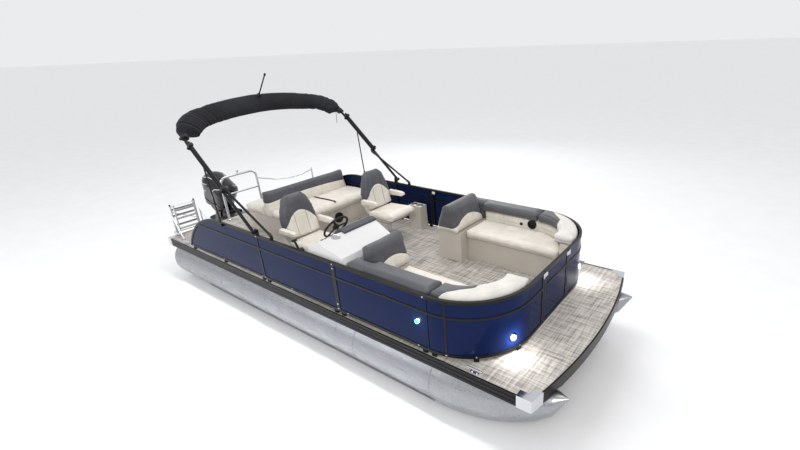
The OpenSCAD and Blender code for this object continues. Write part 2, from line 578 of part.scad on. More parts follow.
module drive_leg() color(black) motor() {
  // Steering shaft and yokes
  translate([-150, 0, -350]) cylinder(r = 30, h = 420, $fn = 48);
  slice([[-350, -345], [-110, -345], [-110, -400], [-350, -470]], -80, 80);
  slice([[-400, 55], [-90, 55], [-90, 95], [-400, 95]], -110, 110);
  // Mid-section
  slice([[-400, 94], [-225, 94], [-205, -350], [-170, -490], [-390, -490], [-380, -200]], -78, 78);
  slice([[-560, -42], [-232, -42], [-232, -120], [-300, -180], [-470, -160]], -106, 106);
  // Anti-ventilation plate, gearcase leg, skeg
  plan([[-130, -60], [-200, -112], [-560, -96], [-590, 0], [-560, 96], [-200, 112], [-130, 60]], -500, -489.5);
  slice([[-185, -490], [-385, -490], [-375, -600], [-470, -650], [-200, -650]], -34, 34);
  translate([-520, 0, -665]) rotate([0, 90, 0]) cylinder(r = 54, h = 300, $fn = 48);
  translate([-220.1, 0, -665]) rotate([0, 90, 0]) cylinder(r1 = 54, r2 = 8, h = 110, $fn = 48);
  slice([[-240, -690], [-400, -690], [-430, -885], [-340, -890]], -9, 9);
}
module cowl() color(black) motor() difference() {
  hull() {
    translate([-470, 0, -40]) cylinder(r = 190, h = 10, $fn = 32);
    translate([-215, 0, 0]) cylinder(r = 150, h = 10, $fn = 32);
    translate([-500, 0, 390]) scale([1.15, 1.17, 0.88]) sphere(r = 196, $fn = 32);
    translate([-160, 0, 400]) scale([1, 1.3, 0.9]) sphere(r = 165, $fn = 32);
  }
  box([-590, -120, 0.5], [-140, 120, 445]);
  box([-401, -111, -41], [-89, 111, 96]);
  // Room for the bracket as the head steers
  box([-101, -240, -60], [60, 240, 46]);
}
module engine() color(metal) motor() box([-560, -112, 97], [-165, 112, 430]);
module propeller() color(metal) motor() translate([-521, 0, -665]) rotate([0, -90, 0]) {
  cylinder(r = 52, h = 95, $fn = 48);
  translate([0, 0, 94.9]) cylinder(r1 = 40, r2 = 18, h = 30, $fn = 48);
  for (i = [0:blades - 1]) rotate([0, 0, i * 360 / blades]) intersection() {
    translate([0, 0, 48]) rotate([30, 0, 0]) translate([92, 0, -3]) cylinder(r = 66, h = 6, $fn = 48);
    translate([20, -200, 6]) cube([400, 400, 84]);
  }
}
module lamps() color(white) home() {
  // Docking lamps in the bow panels and the bow side light
  twins() translate([corner_cx, corner_cy, deck_z + 185]) rotate([0, 0, 22]) translate([fence_corner - 5.8, 0, 0]) rotate([0, 90, 0]) cylinder(r = 26, h = 14, $fn = 48);
  twins() translate([2011, fence_y - 5.8, deck_z + 345]) rotate([-90, 0, 0]) cylinder(r = 20, h = 18, $fn = 48);
}
module speakers() color(black) home() up() {
  twins() translate([2040, corner_cy + 479.8, 504]) rotate([90, 0, 0]) cylinder(r = 62, h = 10, $fn = 64);
  translate([-1179.8, 480, 165]) rotate([0, 90, 0]) cylinder(r = 85, h = 12, $fn = 64);
  translate([1880, corner_cy + 479.8, 480]) rotate([90, 0, 0]) cylinder(r = 22, h = 6, $fn = 48);
}

tubes();
tube_noses();
risers();
cross_members();
motor_pod();
deck();
floor_covering();
rub_rail();
corner_caps();
cleats();
fence_side_starboard();
fence_side_port();
fence_bow_starboard();
fence_bow_port();
side_panels_starboard();
side_panels_port();
bow_panels();
bow_gate_frame();
bow_gate_panel();
side_gate_frame();
side_gate_panel();
helm_console();
dash_hood();
steering_wheel();
throttle();
chair_pedestals();
helm_seat();
helm_backrest();
captain_seat();
captain_backrest();
bow_bench_bases();
bow_bench_seats();
bow_side_pads();
bow_coamings();
bow_corner_pads();
bow_backrests();
stern_lounge_base();
stern_lounge_seats();
stern_lounge_back();
drink_holder();
bimini_frame();
bimini_struts();
bimini_boot();
bimini_mounts();
mast_light();
tow_bar();
stern_rail();
ladder_bracket();
ladder();
ladder_lower();
clamp_bracket();
swivel_bracket();
drive_leg();
cowl();
engine();
propeller();
lamps();
speakers();
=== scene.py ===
import math

import bmesh
import bpy
import numpy as np
from bpy.props import FloatProperty, FloatVectorProperty, IntProperty, PointerProperty
from mathutils import Matrix, Vector, noise
from mathutils.bvhtree import BVHTree


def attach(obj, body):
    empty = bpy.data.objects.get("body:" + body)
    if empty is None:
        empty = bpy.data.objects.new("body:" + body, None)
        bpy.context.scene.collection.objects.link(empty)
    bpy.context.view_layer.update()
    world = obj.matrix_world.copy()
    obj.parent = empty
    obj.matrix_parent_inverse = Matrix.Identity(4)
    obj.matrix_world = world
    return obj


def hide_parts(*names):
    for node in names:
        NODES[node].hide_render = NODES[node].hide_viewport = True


bl_info = {
    "name": "Pontoon boat finisher",
    "version": (1, 0, 0),
    "blender": (4, 5, 0),
    "location": "3D View > Sidebar > Boat",
    "description": "Upholstery, coatings, trim and studio for the twin-tube pontoon boat",
    "category": "Object",
}

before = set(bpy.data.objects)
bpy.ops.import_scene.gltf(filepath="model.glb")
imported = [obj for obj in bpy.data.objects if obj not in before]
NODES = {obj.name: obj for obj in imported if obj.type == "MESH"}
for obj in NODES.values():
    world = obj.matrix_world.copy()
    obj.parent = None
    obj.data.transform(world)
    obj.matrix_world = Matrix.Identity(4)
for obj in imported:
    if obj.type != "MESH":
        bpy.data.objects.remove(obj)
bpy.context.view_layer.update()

# Stations of the boat in the row frame, metres
SHIFT = 0.6047
DECK = 0.755
FENCE_Y = 1.275
CORNER = (2.130 + SHIFT, 0.565)
CORNER_R = 0.710
TUBE_R, TUBE_Y, TUBE_Z = 0.3175, 0.970, 0.3375
HELM_CHAIR = (-0.230 + SHIFT, -0.715)
CAPTAIN_CHAIR = (-0.150 + SHIFT, 0.600)
SIDE_LIGHT_X, SIDE_LIGHT_Z = 2.011, 0.345
LAMP_FACE = FENCE_Y - 0.0058 + 0.018
DOCK_LAMP_TURN = math.radians(22)

# Curved seam between the two tones of a backrest: its middle, its height and how fast it droops
CHAIR_SEAM = (DECK + 0.83, 3.4)
PORT_SEAM = (0.72, DECK + 0.62, 1.1)
STARBOARD_SEAM = (-0.775, DECK + 0.62, 1.3)
STERN_SEAM = (0.45, DECK + 0.575, 0.06)


def at(x, y, z):
    """A point given by its station, its offset to port and its height above the floor."""
    return Vector((x + SHIFT, y, DECK + z))


# ---------------------------------------------------------------- settings


def colour(name, text, value):
    return FloatVectorProperty(name=name, description=text, subtype="COLOR", size=3, min=0, max=1, default=value)


class BOAT_PG_colours(bpy.types.PropertyGroup):
    navy: colour("Fence panels", "Gloss coat of the fence panels", (0.004, 0.011, 0.056))
    cream: colour("Cream vinyl", "Seat cushions and lower backrests", (0.74, 0.69, 0.61))
    grey: colour("Grey vinyl", "Upper backrests and side cushions", (0.070, 0.072, 0.082))
    pale: colour("Pale vinyl", "Bow corner cushions", (0.68, 0.65, 0.60))
    gelcoat: colour("Gelcoat", "Helm console", (0.66, 0.655, 0.65))
    base: colour("Seat bases", "Moulded seat bases", (0.56, 0.52, 0.46))
    floor_light: colour("Floor light thread", "Lighter thread of the woven floor", (0.62, 0.575, 0.525))
    floor_dark: colour("Floor dark thread", "Darker thread of the woven floor", (0.20, 0.18, 0.16))
    canvas: colour("Canvas", "Fabric boot over the folded top", (0.011, 0.0115, 0.014))
    coat: colour("Black coat", "Powder coat on rails and bows", (0.006, 0.006, 0.007))


class BOAT_PG_sizes(bpy.types.PropertyGroup):
    pad_voxel: FloatProperty(
        name="Pad mesh size", description="Mesh spacing of the cushions", default=0.0125, min=0.006, max=0.03,
        unit="LENGTH",
    )
    pad_crown: FloatProperty(
        name="Pad crown", description="How far a cushion swells between its seams", default=0.012, min=0, max=0.03,
        unit="LENGTH",
    )
    seam_depth: FloatProperty(
        name="Seam depth", description="Depth of the sewn channels", default=0.009, min=0, max=0.02, unit="LENGTH",
    )
    piping_r: FloatProperty(
        name="Piping radius", description="Radius of the corded piping", default=0.0042, min=0.002, max=0.01,
        unit="LENGTH",
    )
    bolt_r: FloatProperty(
        name="Bolt radius", description="Radius of the fence bolt heads", default=0.008, min=0.004, max=0.015,
        unit="LENGTH",
    )
    leds: IntProperty(name="Deck lights", description="Lights under each side of the deck", default=7, min=0, max=12)


def tint(name):
    return tuple(getattr(bpy.context.scene.boat_colours, name)) + (1.0,)


def size(name):
    return getattr(bpy.context.scene.boat_sizes, name)


# ---------------------------------------------------------------- effects


def add_node(tree, kind, inputs=(), **settings):
    """A node with its settings, and a value or a link for each named input."""
    n = tree.nodes.new(kind)
    for k, v in settings.items():
        setattr(n, k, v)
    for k, v in dict(inputs).items():
        if isinstance(v, bpy.types.NodeSocket):
            tree.links.new(v, n.inputs[k])
        else:
            n.inputs[k].default_value = v
    return n


def calc(tree, operation, *terms):
    """The output of a Math node on sockets or numbers."""
    return add_node(tree, "ShaderNodeMath", enumerate(terms), operation=operation).outputs[0]


def new_group(name, inputs, outputs):
    group = bpy.data.node_groups.new(name, "ShaderNodeTree")
    for label, kind, value in inputs:
        s = group.interface.new_socket(name=label, in_out="INPUT", socket_type=kind)
        if value is not None:
            s.default_value = value
    for label, kind in outputs:
        group.interface.new_socket(name=label, in_out="OUTPUT", socket_type=kind)
    return group, group.nodes.new("NodeGroupInput"), group.nodes.new("NodeGroupOutput")


def vinyl_grain():
    """Pebbled skin of marine vinyl, with a slow mottling."""
    g, i, o = new_group(
        "VinylGrain",
        [("Vector", "NodeSocketVector", None), ("Scale", "NodeSocketFloat", 420.0)],
        [("Height", "NodeSocketFloat"), ("Mottle", "NodeSocketFloat")],
    )
    where_at, scale = i.outputs["Vector"], i.outputs["Scale"]
    cells = add_node(g, "ShaderNodeTexVoronoi", {"Vector": where_at, "Scale": scale})
    soft = add_node(g, "ShaderNodeTexNoise", {"Vector": where_at, "Scale": scale, "Detail": 3})
    slow = add_node(g, "ShaderNodeTexNoise", {"Vector": where_at, "Scale": 7, "Detail": 4})
    height = calc(g, "MULTIPLY_ADD", cells.outputs["Distance"], 0.6, soft.outputs["Fac"])
    g.links.new(height, o.inputs["Height"])
    g.links.new(slow.outputs["Fac"], o.inputs["Mottle"])
    return g


def plain_weave():
    """Over and under threads along X and Y, with threads that differ in shade."""
    g, i, o = new_group(
        "PlainWeave",
        [("Vector", "NodeSocketVector", None), ("Scale", "NodeSocketFloat", 140.0)],
        [("Height", "NodeSocketFloat"), ("Thread", "NodeSocketFloat")],
    )
    where_at, scale = i.outputs["Vector"], i.outputs["Scale"]
    waves, streaks = [], []
    for axis, stretch in (("X", (0.06, 1, 1)), ("Y", (1, 0.06, 1))):
        wave = add_node(
            g, "ShaderNodeTexWave", {"Vector": where_at, "Scale": scale, "Distortion": 0.4}, bands_direction=axis,
        )
        waves.append(wave.outputs["Fac"])
        drawn = add_node(g, "ShaderNodeMapping", {"Vector": where_at, "Scale": stretch})
        streak = add_node(g, "ShaderNodeTexNoise", {"Vector": drawn.outputs[0], "Scale": scale, "Detail": 2})
        streaks.append(streak.outputs["Fac"])
    g.links.new(calc(g, "MAXIMUM", *waves), o.inputs["Height"])
    g.links.new(calc(g, "MULTIPLY", calc(g, "ADD", *streaks), 0.5), o.inputs["Thread"])
    return g


def surface_wear():
    """Fine scratches and handling marks, as a roughness and a tint."""
    g, i, o = new_group(
        "SurfaceWear",
        [
            ("Vector", "NodeSocketVector", None), ("Smooth", "NodeSocketFloat", 0.2),
            ("Rough", "NodeSocketFloat", 0.4), ("Stretch", "NodeSocketVector", (1, 1, 1)),
            ("Scale", "NodeSocketFloat", 30.0),
        ],
        [("Roughness", "NodeSocketFloat"), ("Tint", "NodeSocketFloat"), ("Height", "NodeSocketFloat")],
    )
    drawn = add_node(g, "ShaderNodeMapping", {"Vector": i.outputs["Vector"], "Scale": i.outputs["Stretch"]})
    fine = add_node(
        g, "ShaderNodeTexNoise",
        {"Vector": drawn.outputs[0], "Scale": i.outputs["Scale"], "Detail": 6, "Roughness": 0.65},
    )
    slow = add_node(g, "ShaderNodeTexNoise", {"Vector": i.outputs["Vector"], "Scale": 2.3, "Detail": 5})
    spread = {
        "Value": fine.outputs["Fac"], "From Min": 0.3, "From Max": 0.7, "To Min": i.outputs["Smooth"],
        "To Max": i.outputs["Rough"],
    }
    g.links.new(add_node(g, "ShaderNodeMapRange", spread).outputs[0], o.inputs["Roughness"])
    g.links.new(slow.outputs["Fac"], o.inputs["Tint"])
    g.links.new(fine.outputs["Fac"], o.inputs["Height"])
    return g


def effect(name):
    makers = {"VinylGrain": vinyl_grain, "PlainWeave": plain_weave, "SurfaceWear": surface_wear}
    return bpy.data.node_groups.get(name) or makers[name]()


# ---------------------------------------------------------------- materials


class Finish:
    """A material being built: its tree, shader and object coordinates."""

    def __init__(self, name, metallic=0.0, roughness=0.4, coat=0.0, coat_roughness=0.08, ior=1.5, sheen=0.0):
        self.mat = bpy.data.materials.new(name)
        self.mat.use_nodes = True
        self.tree = self.mat.node_tree
        self.nodes = self.tree.nodes
        self.shader = self.nodes["Principled BSDF"]
        for socket, value in (
            ("Metallic", metallic), ("Roughness", roughness), ("Coat Weight", coat),
            ("Coat Roughness", coat_roughness), ("IOR", ior), ("Sheen Weight", sheen),
        ):
            self.shader.inputs[socket].default_value = value
        self.where = self.nodes.new("ShaderNodeTexCoord").outputs["Object"]

    def use(self, name, **values):
        return add_node(self.tree, "ShaderNodeGroup", {"Vector": self.where, **values}, node_tree=effect(name))

    def link(self, a, b):
        self.tree.links.new(a, b)

    def ramp(self, source, low, high, start=0.3, end=0.7):
        r = self.nodes.new("ShaderNodeValToRGB")
        r.color_ramp.elements[0].position = start
        r.color_ramp.elements[1].position = end
        r.color_ramp.elements[0].color = low
        r.color_ramp.elements[1].color = high
        self.link(source, r.inputs["Fac"])
        return r.outputs["Color"]

    def mix(self, mask, a, b):
        return add_node(self.tree, "ShaderNodeMix", {0: mask, 6: a, 7: b}, data_type="RGBA").outputs[2]

    def bump(self, height, strength, distance):
        b = add_node(self.tree, "ShaderNodeBump", {"Strength": strength, "Distance": distance, "Height": height})
        self.link(b.outputs[0], self.shader.inputs["Normal"])

    def base(self, source):
        self.link(source, self.shader.inputs["Base Color"])

    def rough(self, source):
        self.link(source, self.shader.inputs["Roughness"])


def shade(c, k):
    return tuple(min(1.0, v * k) for v in c[:3]) + (1.0,)


SEAM_BLUR = 0.0015


def vinyl_base(name, c, other=None, boundary=None):
    """Marine vinyl of colour c, or of other where boundary(finish, x, y, z) is above zero."""
    f = Finish(name, roughness=0.5, sheen=0.15, coat=0.06, coat_roughness=0.35)
    g = f.use("VinylGrain", Scale=460.0)
    skin = f.ramp(g.outputs["Mottle"], *c)
    if other:
        xyz = add_node(f.tree, "ShaderNodeSeparateXYZ", {0: f.where}).outputs
        side = {"Value": boundary(f.tree, *xyz), "From Min": -SEAM_BLUR, "From Max": SEAM_BLUR}
        skin = f.mix(
            add_node(f.tree, "ShaderNodeMapRange", side).outputs[0], skin, f.ramp(g.outputs["Mottle"], *other),
        )
    f.base(skin)
    f.rough(f.use("SurfaceWear", Smooth=0.42, Rough=0.56, Scale=14.0).outputs["Roughness"])
    f.bump(g.outputs["Height"], 0.22, 0.0009)
    return f.mat


def light_tones(c):
    return shade(c, 0.9), shade(c, 1.06)


def dark_tones(c):
    return shade(c, 0.85), shade(c, 1.12)


def vinyl(name, c, upper=None, split=None):
    """Marine vinyl. With upper and split it is two-tone: split is (centre y, height, droop at the sides)."""
    if not upper:
        return vinyl_base(name, light_tones(c))
    centre, height, droop_rate = split

    def above(tree, x, y, z):
        off = calc(tree, "SUBTRACT", y, centre)
        return calc(
            tree, "SUBTRACT", calc(tree, "MULTIPLY_ADD", calc(tree, "MULTIPLY", off, off), droop_rate, z), height,
        )

    return vinyl_base(name, light_tones(c), dark_tones(upper), above)


# Slanting end of the grey on a bow corner: where it starts, how fast it slants, and where it stops
SLANT_START, SLANT_RATE, SLANT_LIMIT, SLANT_OUTER = 0.08, 0.905, 0.33, 1.233


def corner_vinyl(name, side):
    """Pale vinyl of a bow corner, with a slanting grey end where it meets the side cushion."""

    def beyond(tree, x, y, z):
        start = SLANT_START + SLANT_RATE * SLANT_OUTER + CORNER[0]
        slant = calc(tree, "MULTIPLY_ADD", y, -SLANT_RATE * side, start)
        return calc(tree, "SUBTRACT", x, calc(tree, "MINIMUM", slant, CORNER[0] + SLANT_LIMIT))

    return vinyl_base(name, dark_tones(tint("grey")), light_tones(tint("pale")), beyond)


def coated(
    name, c, smooth, rough, coat=0.0, metallic=0.0, scale=45.0, bump=0.08, spread=0.16, stretch=(1, 1, 1), ior=1.4,
):
    """Paint, powder coat, gelcoat or plastic, with handling marks and a faint texture."""
    f = Finish(name, roughness=(smooth + rough) / 2, coat=coat, metallic=metallic, ior=ior)
    wear = f.use("SurfaceWear", Smooth=smooth, Rough=rough, Scale=scale, Stretch=stretch)
    f.rough(wear.outputs["Roughness"])
    f.base(f.ramp(wear.outputs["Tint"], shade(c, 1 - spread), shade(c, 1 + spread)))
    f.bump(wear.outputs["Height"], bump, 0.0006)
    return f.mat


def bare_aluminium(name, stretch, smooth=0.2, rough=0.42, c=(0.36, 0.365, 0.39, 1.0)):
    f = Finish(name, metallic=1.0, roughness=0.3)
    wear = f.use("SurfaceWear", Smooth=smooth, Rough=rough, Scale=26.0, Stretch=stretch)
    f.rough(wear.outputs["Roughness"])
    f.base(f.ramp(wear.outputs["Tint"], shade(c, 0.93), shade(c, 1.04)))
    f.bump(wear.outputs["Height"], 0.16, 0.0012)
    return f.mat


def woven_floor():
    f = Finish("WovenFloor", roughness=0.72, sheen=0.1)
    fine = f.use("PlainWeave", Scale=120.0)
    broad = f.use("PlainWeave", Scale=52.0)
    threads = calc(
        f.tree, "MULTIPLY_ADD", broad.outputs["Thread"], 0.75, calc(f.tree, "MULTIPLY", fine.outputs["Thread"], 0.35),
    )
    f.base(f.ramp(threads, tint("floor_dark"), tint("floor_light"), 0.42, 0.64))
    f.bump(fine.outputs["Height"], 0.5, 0.0015)
    return f.mat


def canvas():
    f = Finish("BootCanvas", roughness=0.85, sheen=0.06, ior=1.3)
    w = f.use("PlainWeave", Scale=300.0)
    wear = f.use("SurfaceWear", Smooth=0.75, Rough=0.95, Scale=9.0)
    f.rough(wear.outputs["Roughness"])
    c = tint("canvas")
    f.base(f.ramp(wear.outputs["Tint"], shade(c, 0.75), shade(c, 1.5)))
    f.bump(w.outputs["Height"], 0.35, 0.0009)
    return f.mat


def glow(name, c, strength):
    f = Finish(name, roughness=0.2)
    wear = f.use("SurfaceWear", Smooth=0.1, Rough=0.25)
    f.rough(wear.outputs["Roughness"])
    f.base(f.ramp(wear.outputs["Tint"], shade(c, 0.9), c))
    f.shader.inputs["Emission Color"].default_value = c
    f.shader.inputs["Emission Strength"].default_value = strength
    return f.mat


def timber():
    f = Finish("MarinePly", roughness=0.7)
    wear = f.use("SurfaceWear", Smooth=0.6, Rough=0.8, Scale=18.0, Stretch=(0.05, 1, 1))
    f.base(f.ramp(wear.outputs["Height"], (0.16, 0.11, 0.07, 1), (0.30, 0.22, 0.15, 1)))
    f.rough(wear.outputs["Roughness"])
    f.bump(wear.outputs["Height"], 0.2, 0.001)
    return f.mat


def make_finishes():
    navy, grey, cream = tint("navy"), tint("grey"), tint("cream")
    return {
        "navy": coated("NavyGloss", navy, 0.12, 0.20, coat=0.05, scale=60, bump=0.02, spread=0.08, ior=1.16),
        "coat": coated("BlackPowder", tint("coat"), 0.26, 0.40, scale=180, bump=0.1, ior=1.3),
        "cream": vinyl("CreamVinyl", cream),
        "grey": vinyl("GreyVinyl", grey),
        "pale": vinyl("PaleVinyl", tint("pale")),
        "helm_back": vinyl("HelmBackVinyl", cream, grey, (HELM_CHAIR[1], *CHAIR_SEAM)),
        "captain_back": vinyl("CaptainBackVinyl", cream, grey, (CAPTAIN_CHAIR[1], *CHAIR_SEAM)),
        "port_back": vinyl("PortBackVinyl", cream, grey, PORT_SEAM),
        "starboard_back": vinyl("StarboardBackVinyl", cream, grey, STARBOARD_SEAM),
        "port_corner": corner_vinyl("PortCornerVinyl", 1),
        "starboard_corner": corner_vinyl("StarboardCornerVinyl", -1),
        "stern_back": vinyl("SternBackVinyl", cream, grey, STERN_SEAM),
        "gelcoat": coated("WhiteGelcoat", tint("gelcoat"), 0.14, 0.28, coat=0.3, scale=25, bump=0.02, spread=0.04),
        "base": coated("SeatMoulding", tint("base"), 0.42, 0.58, scale=120, bump=0.15, spread=0.06),
        "hood": coated("SoftHood", grey, 0.5, 0.66, scale=260, bump=0.25, spread=0.12),
        "plastic": coated("BlackPlastic", (0.009, 0.009, 0.010, 1), 0.35, 0.55, scale=200, bump=0.15),
        "rubber": coated("BlackRubber", (0.018, 0.018, 0.019, 1), 0.6, 0.8, scale=150, bump=0.2),
        "cowl": coated("CowlGloss", (0.004, 0.004, 0.005, 1), 0.06, 0.14, coat=0.55, scale=20, bump=0.015, ior=1.3),
        "silver": coated("SilverTrim", (0.62, 0.63, 0.65, 1), 0.14, 0.24, metallic=1.0, scale=60, bump=0.03),
        "chrome": coated(
            "Polished", (0.66, 0.67, 0.70, 1), 0.05, 0.16, metallic=1.0, scale=40, bump=0.02, spread=0.06,
        ),
        "engine": coated("EngineBlock", (0.10, 0.10, 0.11, 1), 0.45, 0.65, metallic=0.6, scale=60, bump=0.2),
        "tube": bare_aluminium("TubeAluminium", (0.25, 3, 3)),
        "nose": bare_aluminium("NoseAluminium", (1, 1, 2), 0.22, 0.4, (0.36, 0.365, 0.385, 1)),
        "channel": bare_aluminium("ChannelAluminium", (1, 0.2, 1), 0.3, 0.5, (0.40, 0.41, 0.43, 1)),
        "weld": coated("WeldBead", (0.34, 0.35, 0.37, 1), 0.3, 0.6, metallic=1.0, scale=300, bump=0.5),
        "floor": woven_floor(),
        "canvas": canvas(),
        "ply": timber(),
        "green": glow("GreenLens", (0.02, 0.9, 0.42, 1), 1.6),
        "red": glow("RedLens", (0.95, 0.03, 0.02, 1), 1.4),
        "white": glow("WhiteLens", (1.0, 0.98, 0.94, 1), 16.0),
        "led": glow("DeckLight", (0.95, 0.97, 1.0, 1), 22.0),
        "dial": glow("DialFace", (0.02, 0.05, 0.09, 1), 0.6),
    }


FINISH = {}
COATS = {
    "tube": ["tubes", "motor_pod"],
    "nose": ["tube_noses"],
    "channel": ["risers", "cross_members"],
    "ply": ["deck"],
    "floor": ["floor_covering"],
    "coat": [
        "rub_rail", "fence_side_starboard", "fence_side_port", "fence_bow_starboard", "fence_bow_port",
        "bow_gate_frame", "side_gate_frame", "bimini_frame", "bimini_struts", "bimini_mounts", "mast_light",
    ],
    "navy": ["side_panels_starboard", "side_panels_port", "bow_panels", "bow_gate_panel", "side_gate_panel"],
    "chrome": [
        "corner_caps", "cleats", "tow_bar", "stern_rail", "ladder_bracket", "ladder", "ladder_lower",
        "chair_pedestals",
    ],
    "gelcoat": ["helm_console"],
    "hood": ["dash_hood"],
    "base": ["bow_bench_bases", "stern_lounge_base", "drink_holder"],
    "plastic": ["throttle", "speakers", "clamp_bracket", "swivel_bracket"],
    "rubber": ["steering_wheel"],
    "cowl": ["cowl", "drive_leg"],
    "engine": ["engine"],
    "silver": ["propeller"],
    "white": ["lamps"],
}


# ---------------------------------------------------------------- making pieces


def keep(name, mesh, finish, body, slot=None, replaces=(), smooth=True):
    obj = bpy.data.objects.new(name, mesh)
    bpy.context.scene.collection.objects.link(obj)
    mesh.materials.clear()
    mesh.materials.append(FINISH[finish])
    if smooth:
        mesh.polygons.foreach_set("use_smooth", [True] * len(mesh.polygons))
        mesh.set_sharp_from_angle(angle=math.radians(38))
    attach(obj, body)
    if replaces:
        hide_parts(*replaces)
    return obj


def from_bm(name, bm, finish, body, **more):
    bmesh.ops.recalc_face_normals(bm, faces=bm.faces)
    mesh = bpy.data.meshes.new(name)
    bm.to_mesh(mesh)
    bm.free()
    return keep(name, mesh, finish, body, **more)


def place(origin, axis=(0, 0, 1), turn=0.0):
    """Matrix that stands +Z along axis at origin."""
    q = Vector(axis).normalized().to_track_quat("Z", "Y")
    return Matrix.Translation(Vector(origin)) @ q.to_matrix().to_4x4() @ Matrix.Rotation(turn, 4, "Z")


def turned(bm, matrix, outline, steps=40):
    """A turned part: outline is (radius, height) points, spun about +Z of matrix."""
    verts = [bm.verts.new((r, 0, h)) for r, h in outline]
    edges = [bm.edges.new(p) for p in zip(verts, verts[1:])]
    bmesh.ops.spin(
        bm, geom=verts + edges, cent=(0, 0, 0), axis=(0, 0, 1), angle=2 * math.pi, steps=steps, use_merge=True,
        use_duplicate=False,
    )
    bmesh.ops.remove_doubles(bm, verts=[v for v in bm.verts if not v.tag], dist=1e-6)
    fresh = [v for v in bm.verts if not v.tag]
    bmesh.ops.transform(bm, matrix=matrix, verts=fresh)
    for v in bm.verts:
        v.tag = True


def block(bm, lo, hi, radius=0.0, segments=2, matrix=None):
    """A box between two corners, its edges rounded."""
    lo, hi = Vector(lo), Vector(hi)
    made = bmesh.ops.create_cube(
        bm, size=1.0, matrix=Matrix.Translation((lo + hi) / 2) @ Matrix.Diagonal((*(hi - lo), 1)),
    )
    verts = made["verts"]
    if radius:
        edges = list({e for v in verts for e in v.link_edges})
        got = bmesh.ops.bevel(
            bm, geom=edges, offset=radius, offset_type="OFFSET", segments=segments, profile=0.5, affect="EDGES",
            material=-1,
        )
        verts = list({v for f in got["faces"] for v in f.verts} | {v for v in verts if v.is_valid})
    if matrix is not None:
        bmesh.ops.transform(bm, matrix=matrix, verts=verts)
    for v in bm.verts:
        v.tag = True
    return verts


def run(points, radius, closed=False, sides=3, smooth=True):
    """A round section run along points, as a mesh."""
    data = bpy.data.curves.new("run", "CURVE")
    data.dimensions = "3D"
    data.bevel_depth = radius
    data.bevel_resolution = sides
    data.use_fill_caps = True
    s = data.splines.new("NURBS" if smooth and len(points) > 3 else "POLY")
    s.points.add(len(points) - 1)
    for p, q in zip(s.points, points):
        p.co = (*q, 1)
    s.use_cyclic_u = closed
    if s.type == "NURBS":
        s.order_u = 3
        s.use_endpoint_u = not closed
        s.resolution_u = 3
    obj = bpy.data.objects.new("run", data)
    bpy.context.scene.collection.objects.link(obj)
    dg = bpy.context.evaluated_depsgraph_get()
    mesh = bpy.data.meshes.new_from_object(obj.evaluated_get(dg), depsgraph=dg)
    bpy.data.objects.remove(obj)
    bpy.data.curves.remove(data)
    return mesh


def runs(name, paths, radius, finish, body, closed=False, **more):
    """Several runs of one round section as one piece."""
    bm = bmesh.new()
    for p in paths:
        mesh = run(p, radius, closed)
        bm.from_mesh(mesh)
        bpy.data.meshes.remove(mesh)
    bmesh.ops.remove_doubles(bm, verts=bm.verts, dist=1e-6)
    return from_bm(name, bm, finish, body, **more)


# ---------------------------------------------------------------- upholstery


def solid_copy(node, keep_if=None):
    """The CAD node's mesh as a closed bmesh, or only the solids that keep_if accepts by their centre."""
    bm = bmesh.new()
    bm.from_mesh(NODES[node].data)
    bmesh.ops.remove_doubles(bm, verts=bm.verts, dist=1e-5)
    if keep_if:
        seen, drop = set(), []
        for v in bm.verts:
            if v in seen:
                continue
            island, stack = [], [v]
            seen.add(v)
            while stack:
                w = stack.pop()
                island.append(w)
                for e in w.link_edges:
                    u = e.other_vert(w)
                    if u not in seen:
                        seen.add(u)
                        stack.append(u)
            lo = Vector(map(min, zip(*(w.co for w in island))))
            hi = Vector(map(max, zip(*(w.co for w in island))))
            if not keep_if((lo + hi) / 2):
                drop += island
        bmesh.ops.delete(bm, geom=drop, context="VERTS")
    return bm


def remeshed(bm, voxel, name):
    mesh = bpy.data.meshes.new(name)
    bm.to_mesh(mesh)
    bm.free()
    obj = bpy.data.objects.new(name, mesh)
    bpy.context.scene.collection.objects.link(obj)
    m = obj.modifiers.new("Remesh", "REMESH")
    m.mode = "VOXEL"
    m.voxel_size = voxel
    dg = bpy.context.evaluated_depsgraph_get()
    out = bpy.data.meshes.new_from_object(obj.evaluated_get(dg), depsgraph=dg)
    bpy.data.objects.remove(obj)
    bpy.data.meshes.remove(mesh)
    return out


def coords(mesh):
    co = np.zeros(len(mesh.vertices) * 3, np.float64)
    mesh.vertices.foreach_get("co", co)
    return co.reshape(-1, 3)


def normals(mesh):
    no = np.zeros(len(mesh.vertices) * 3, np.float64)
    mesh.vertex_normals.foreach_get("vector", no)
    return no.reshape(-1, 3)


def put(mesh, co):
    mesh.vertices.foreach_set("co", co.ravel())
    mesh.update()


def relax(mesh, rounds):
    bm = bmesh.new()
    bm.from_mesh(mesh)
    for _ in range(rounds):
        bmesh.ops.smooth_vert(bm, verts=bm.verts, factor=0.5, use_axis_x=True, use_axis_y=True, use_axis_z=True)
    bm.to_mesh(mesh)
    bm.free()


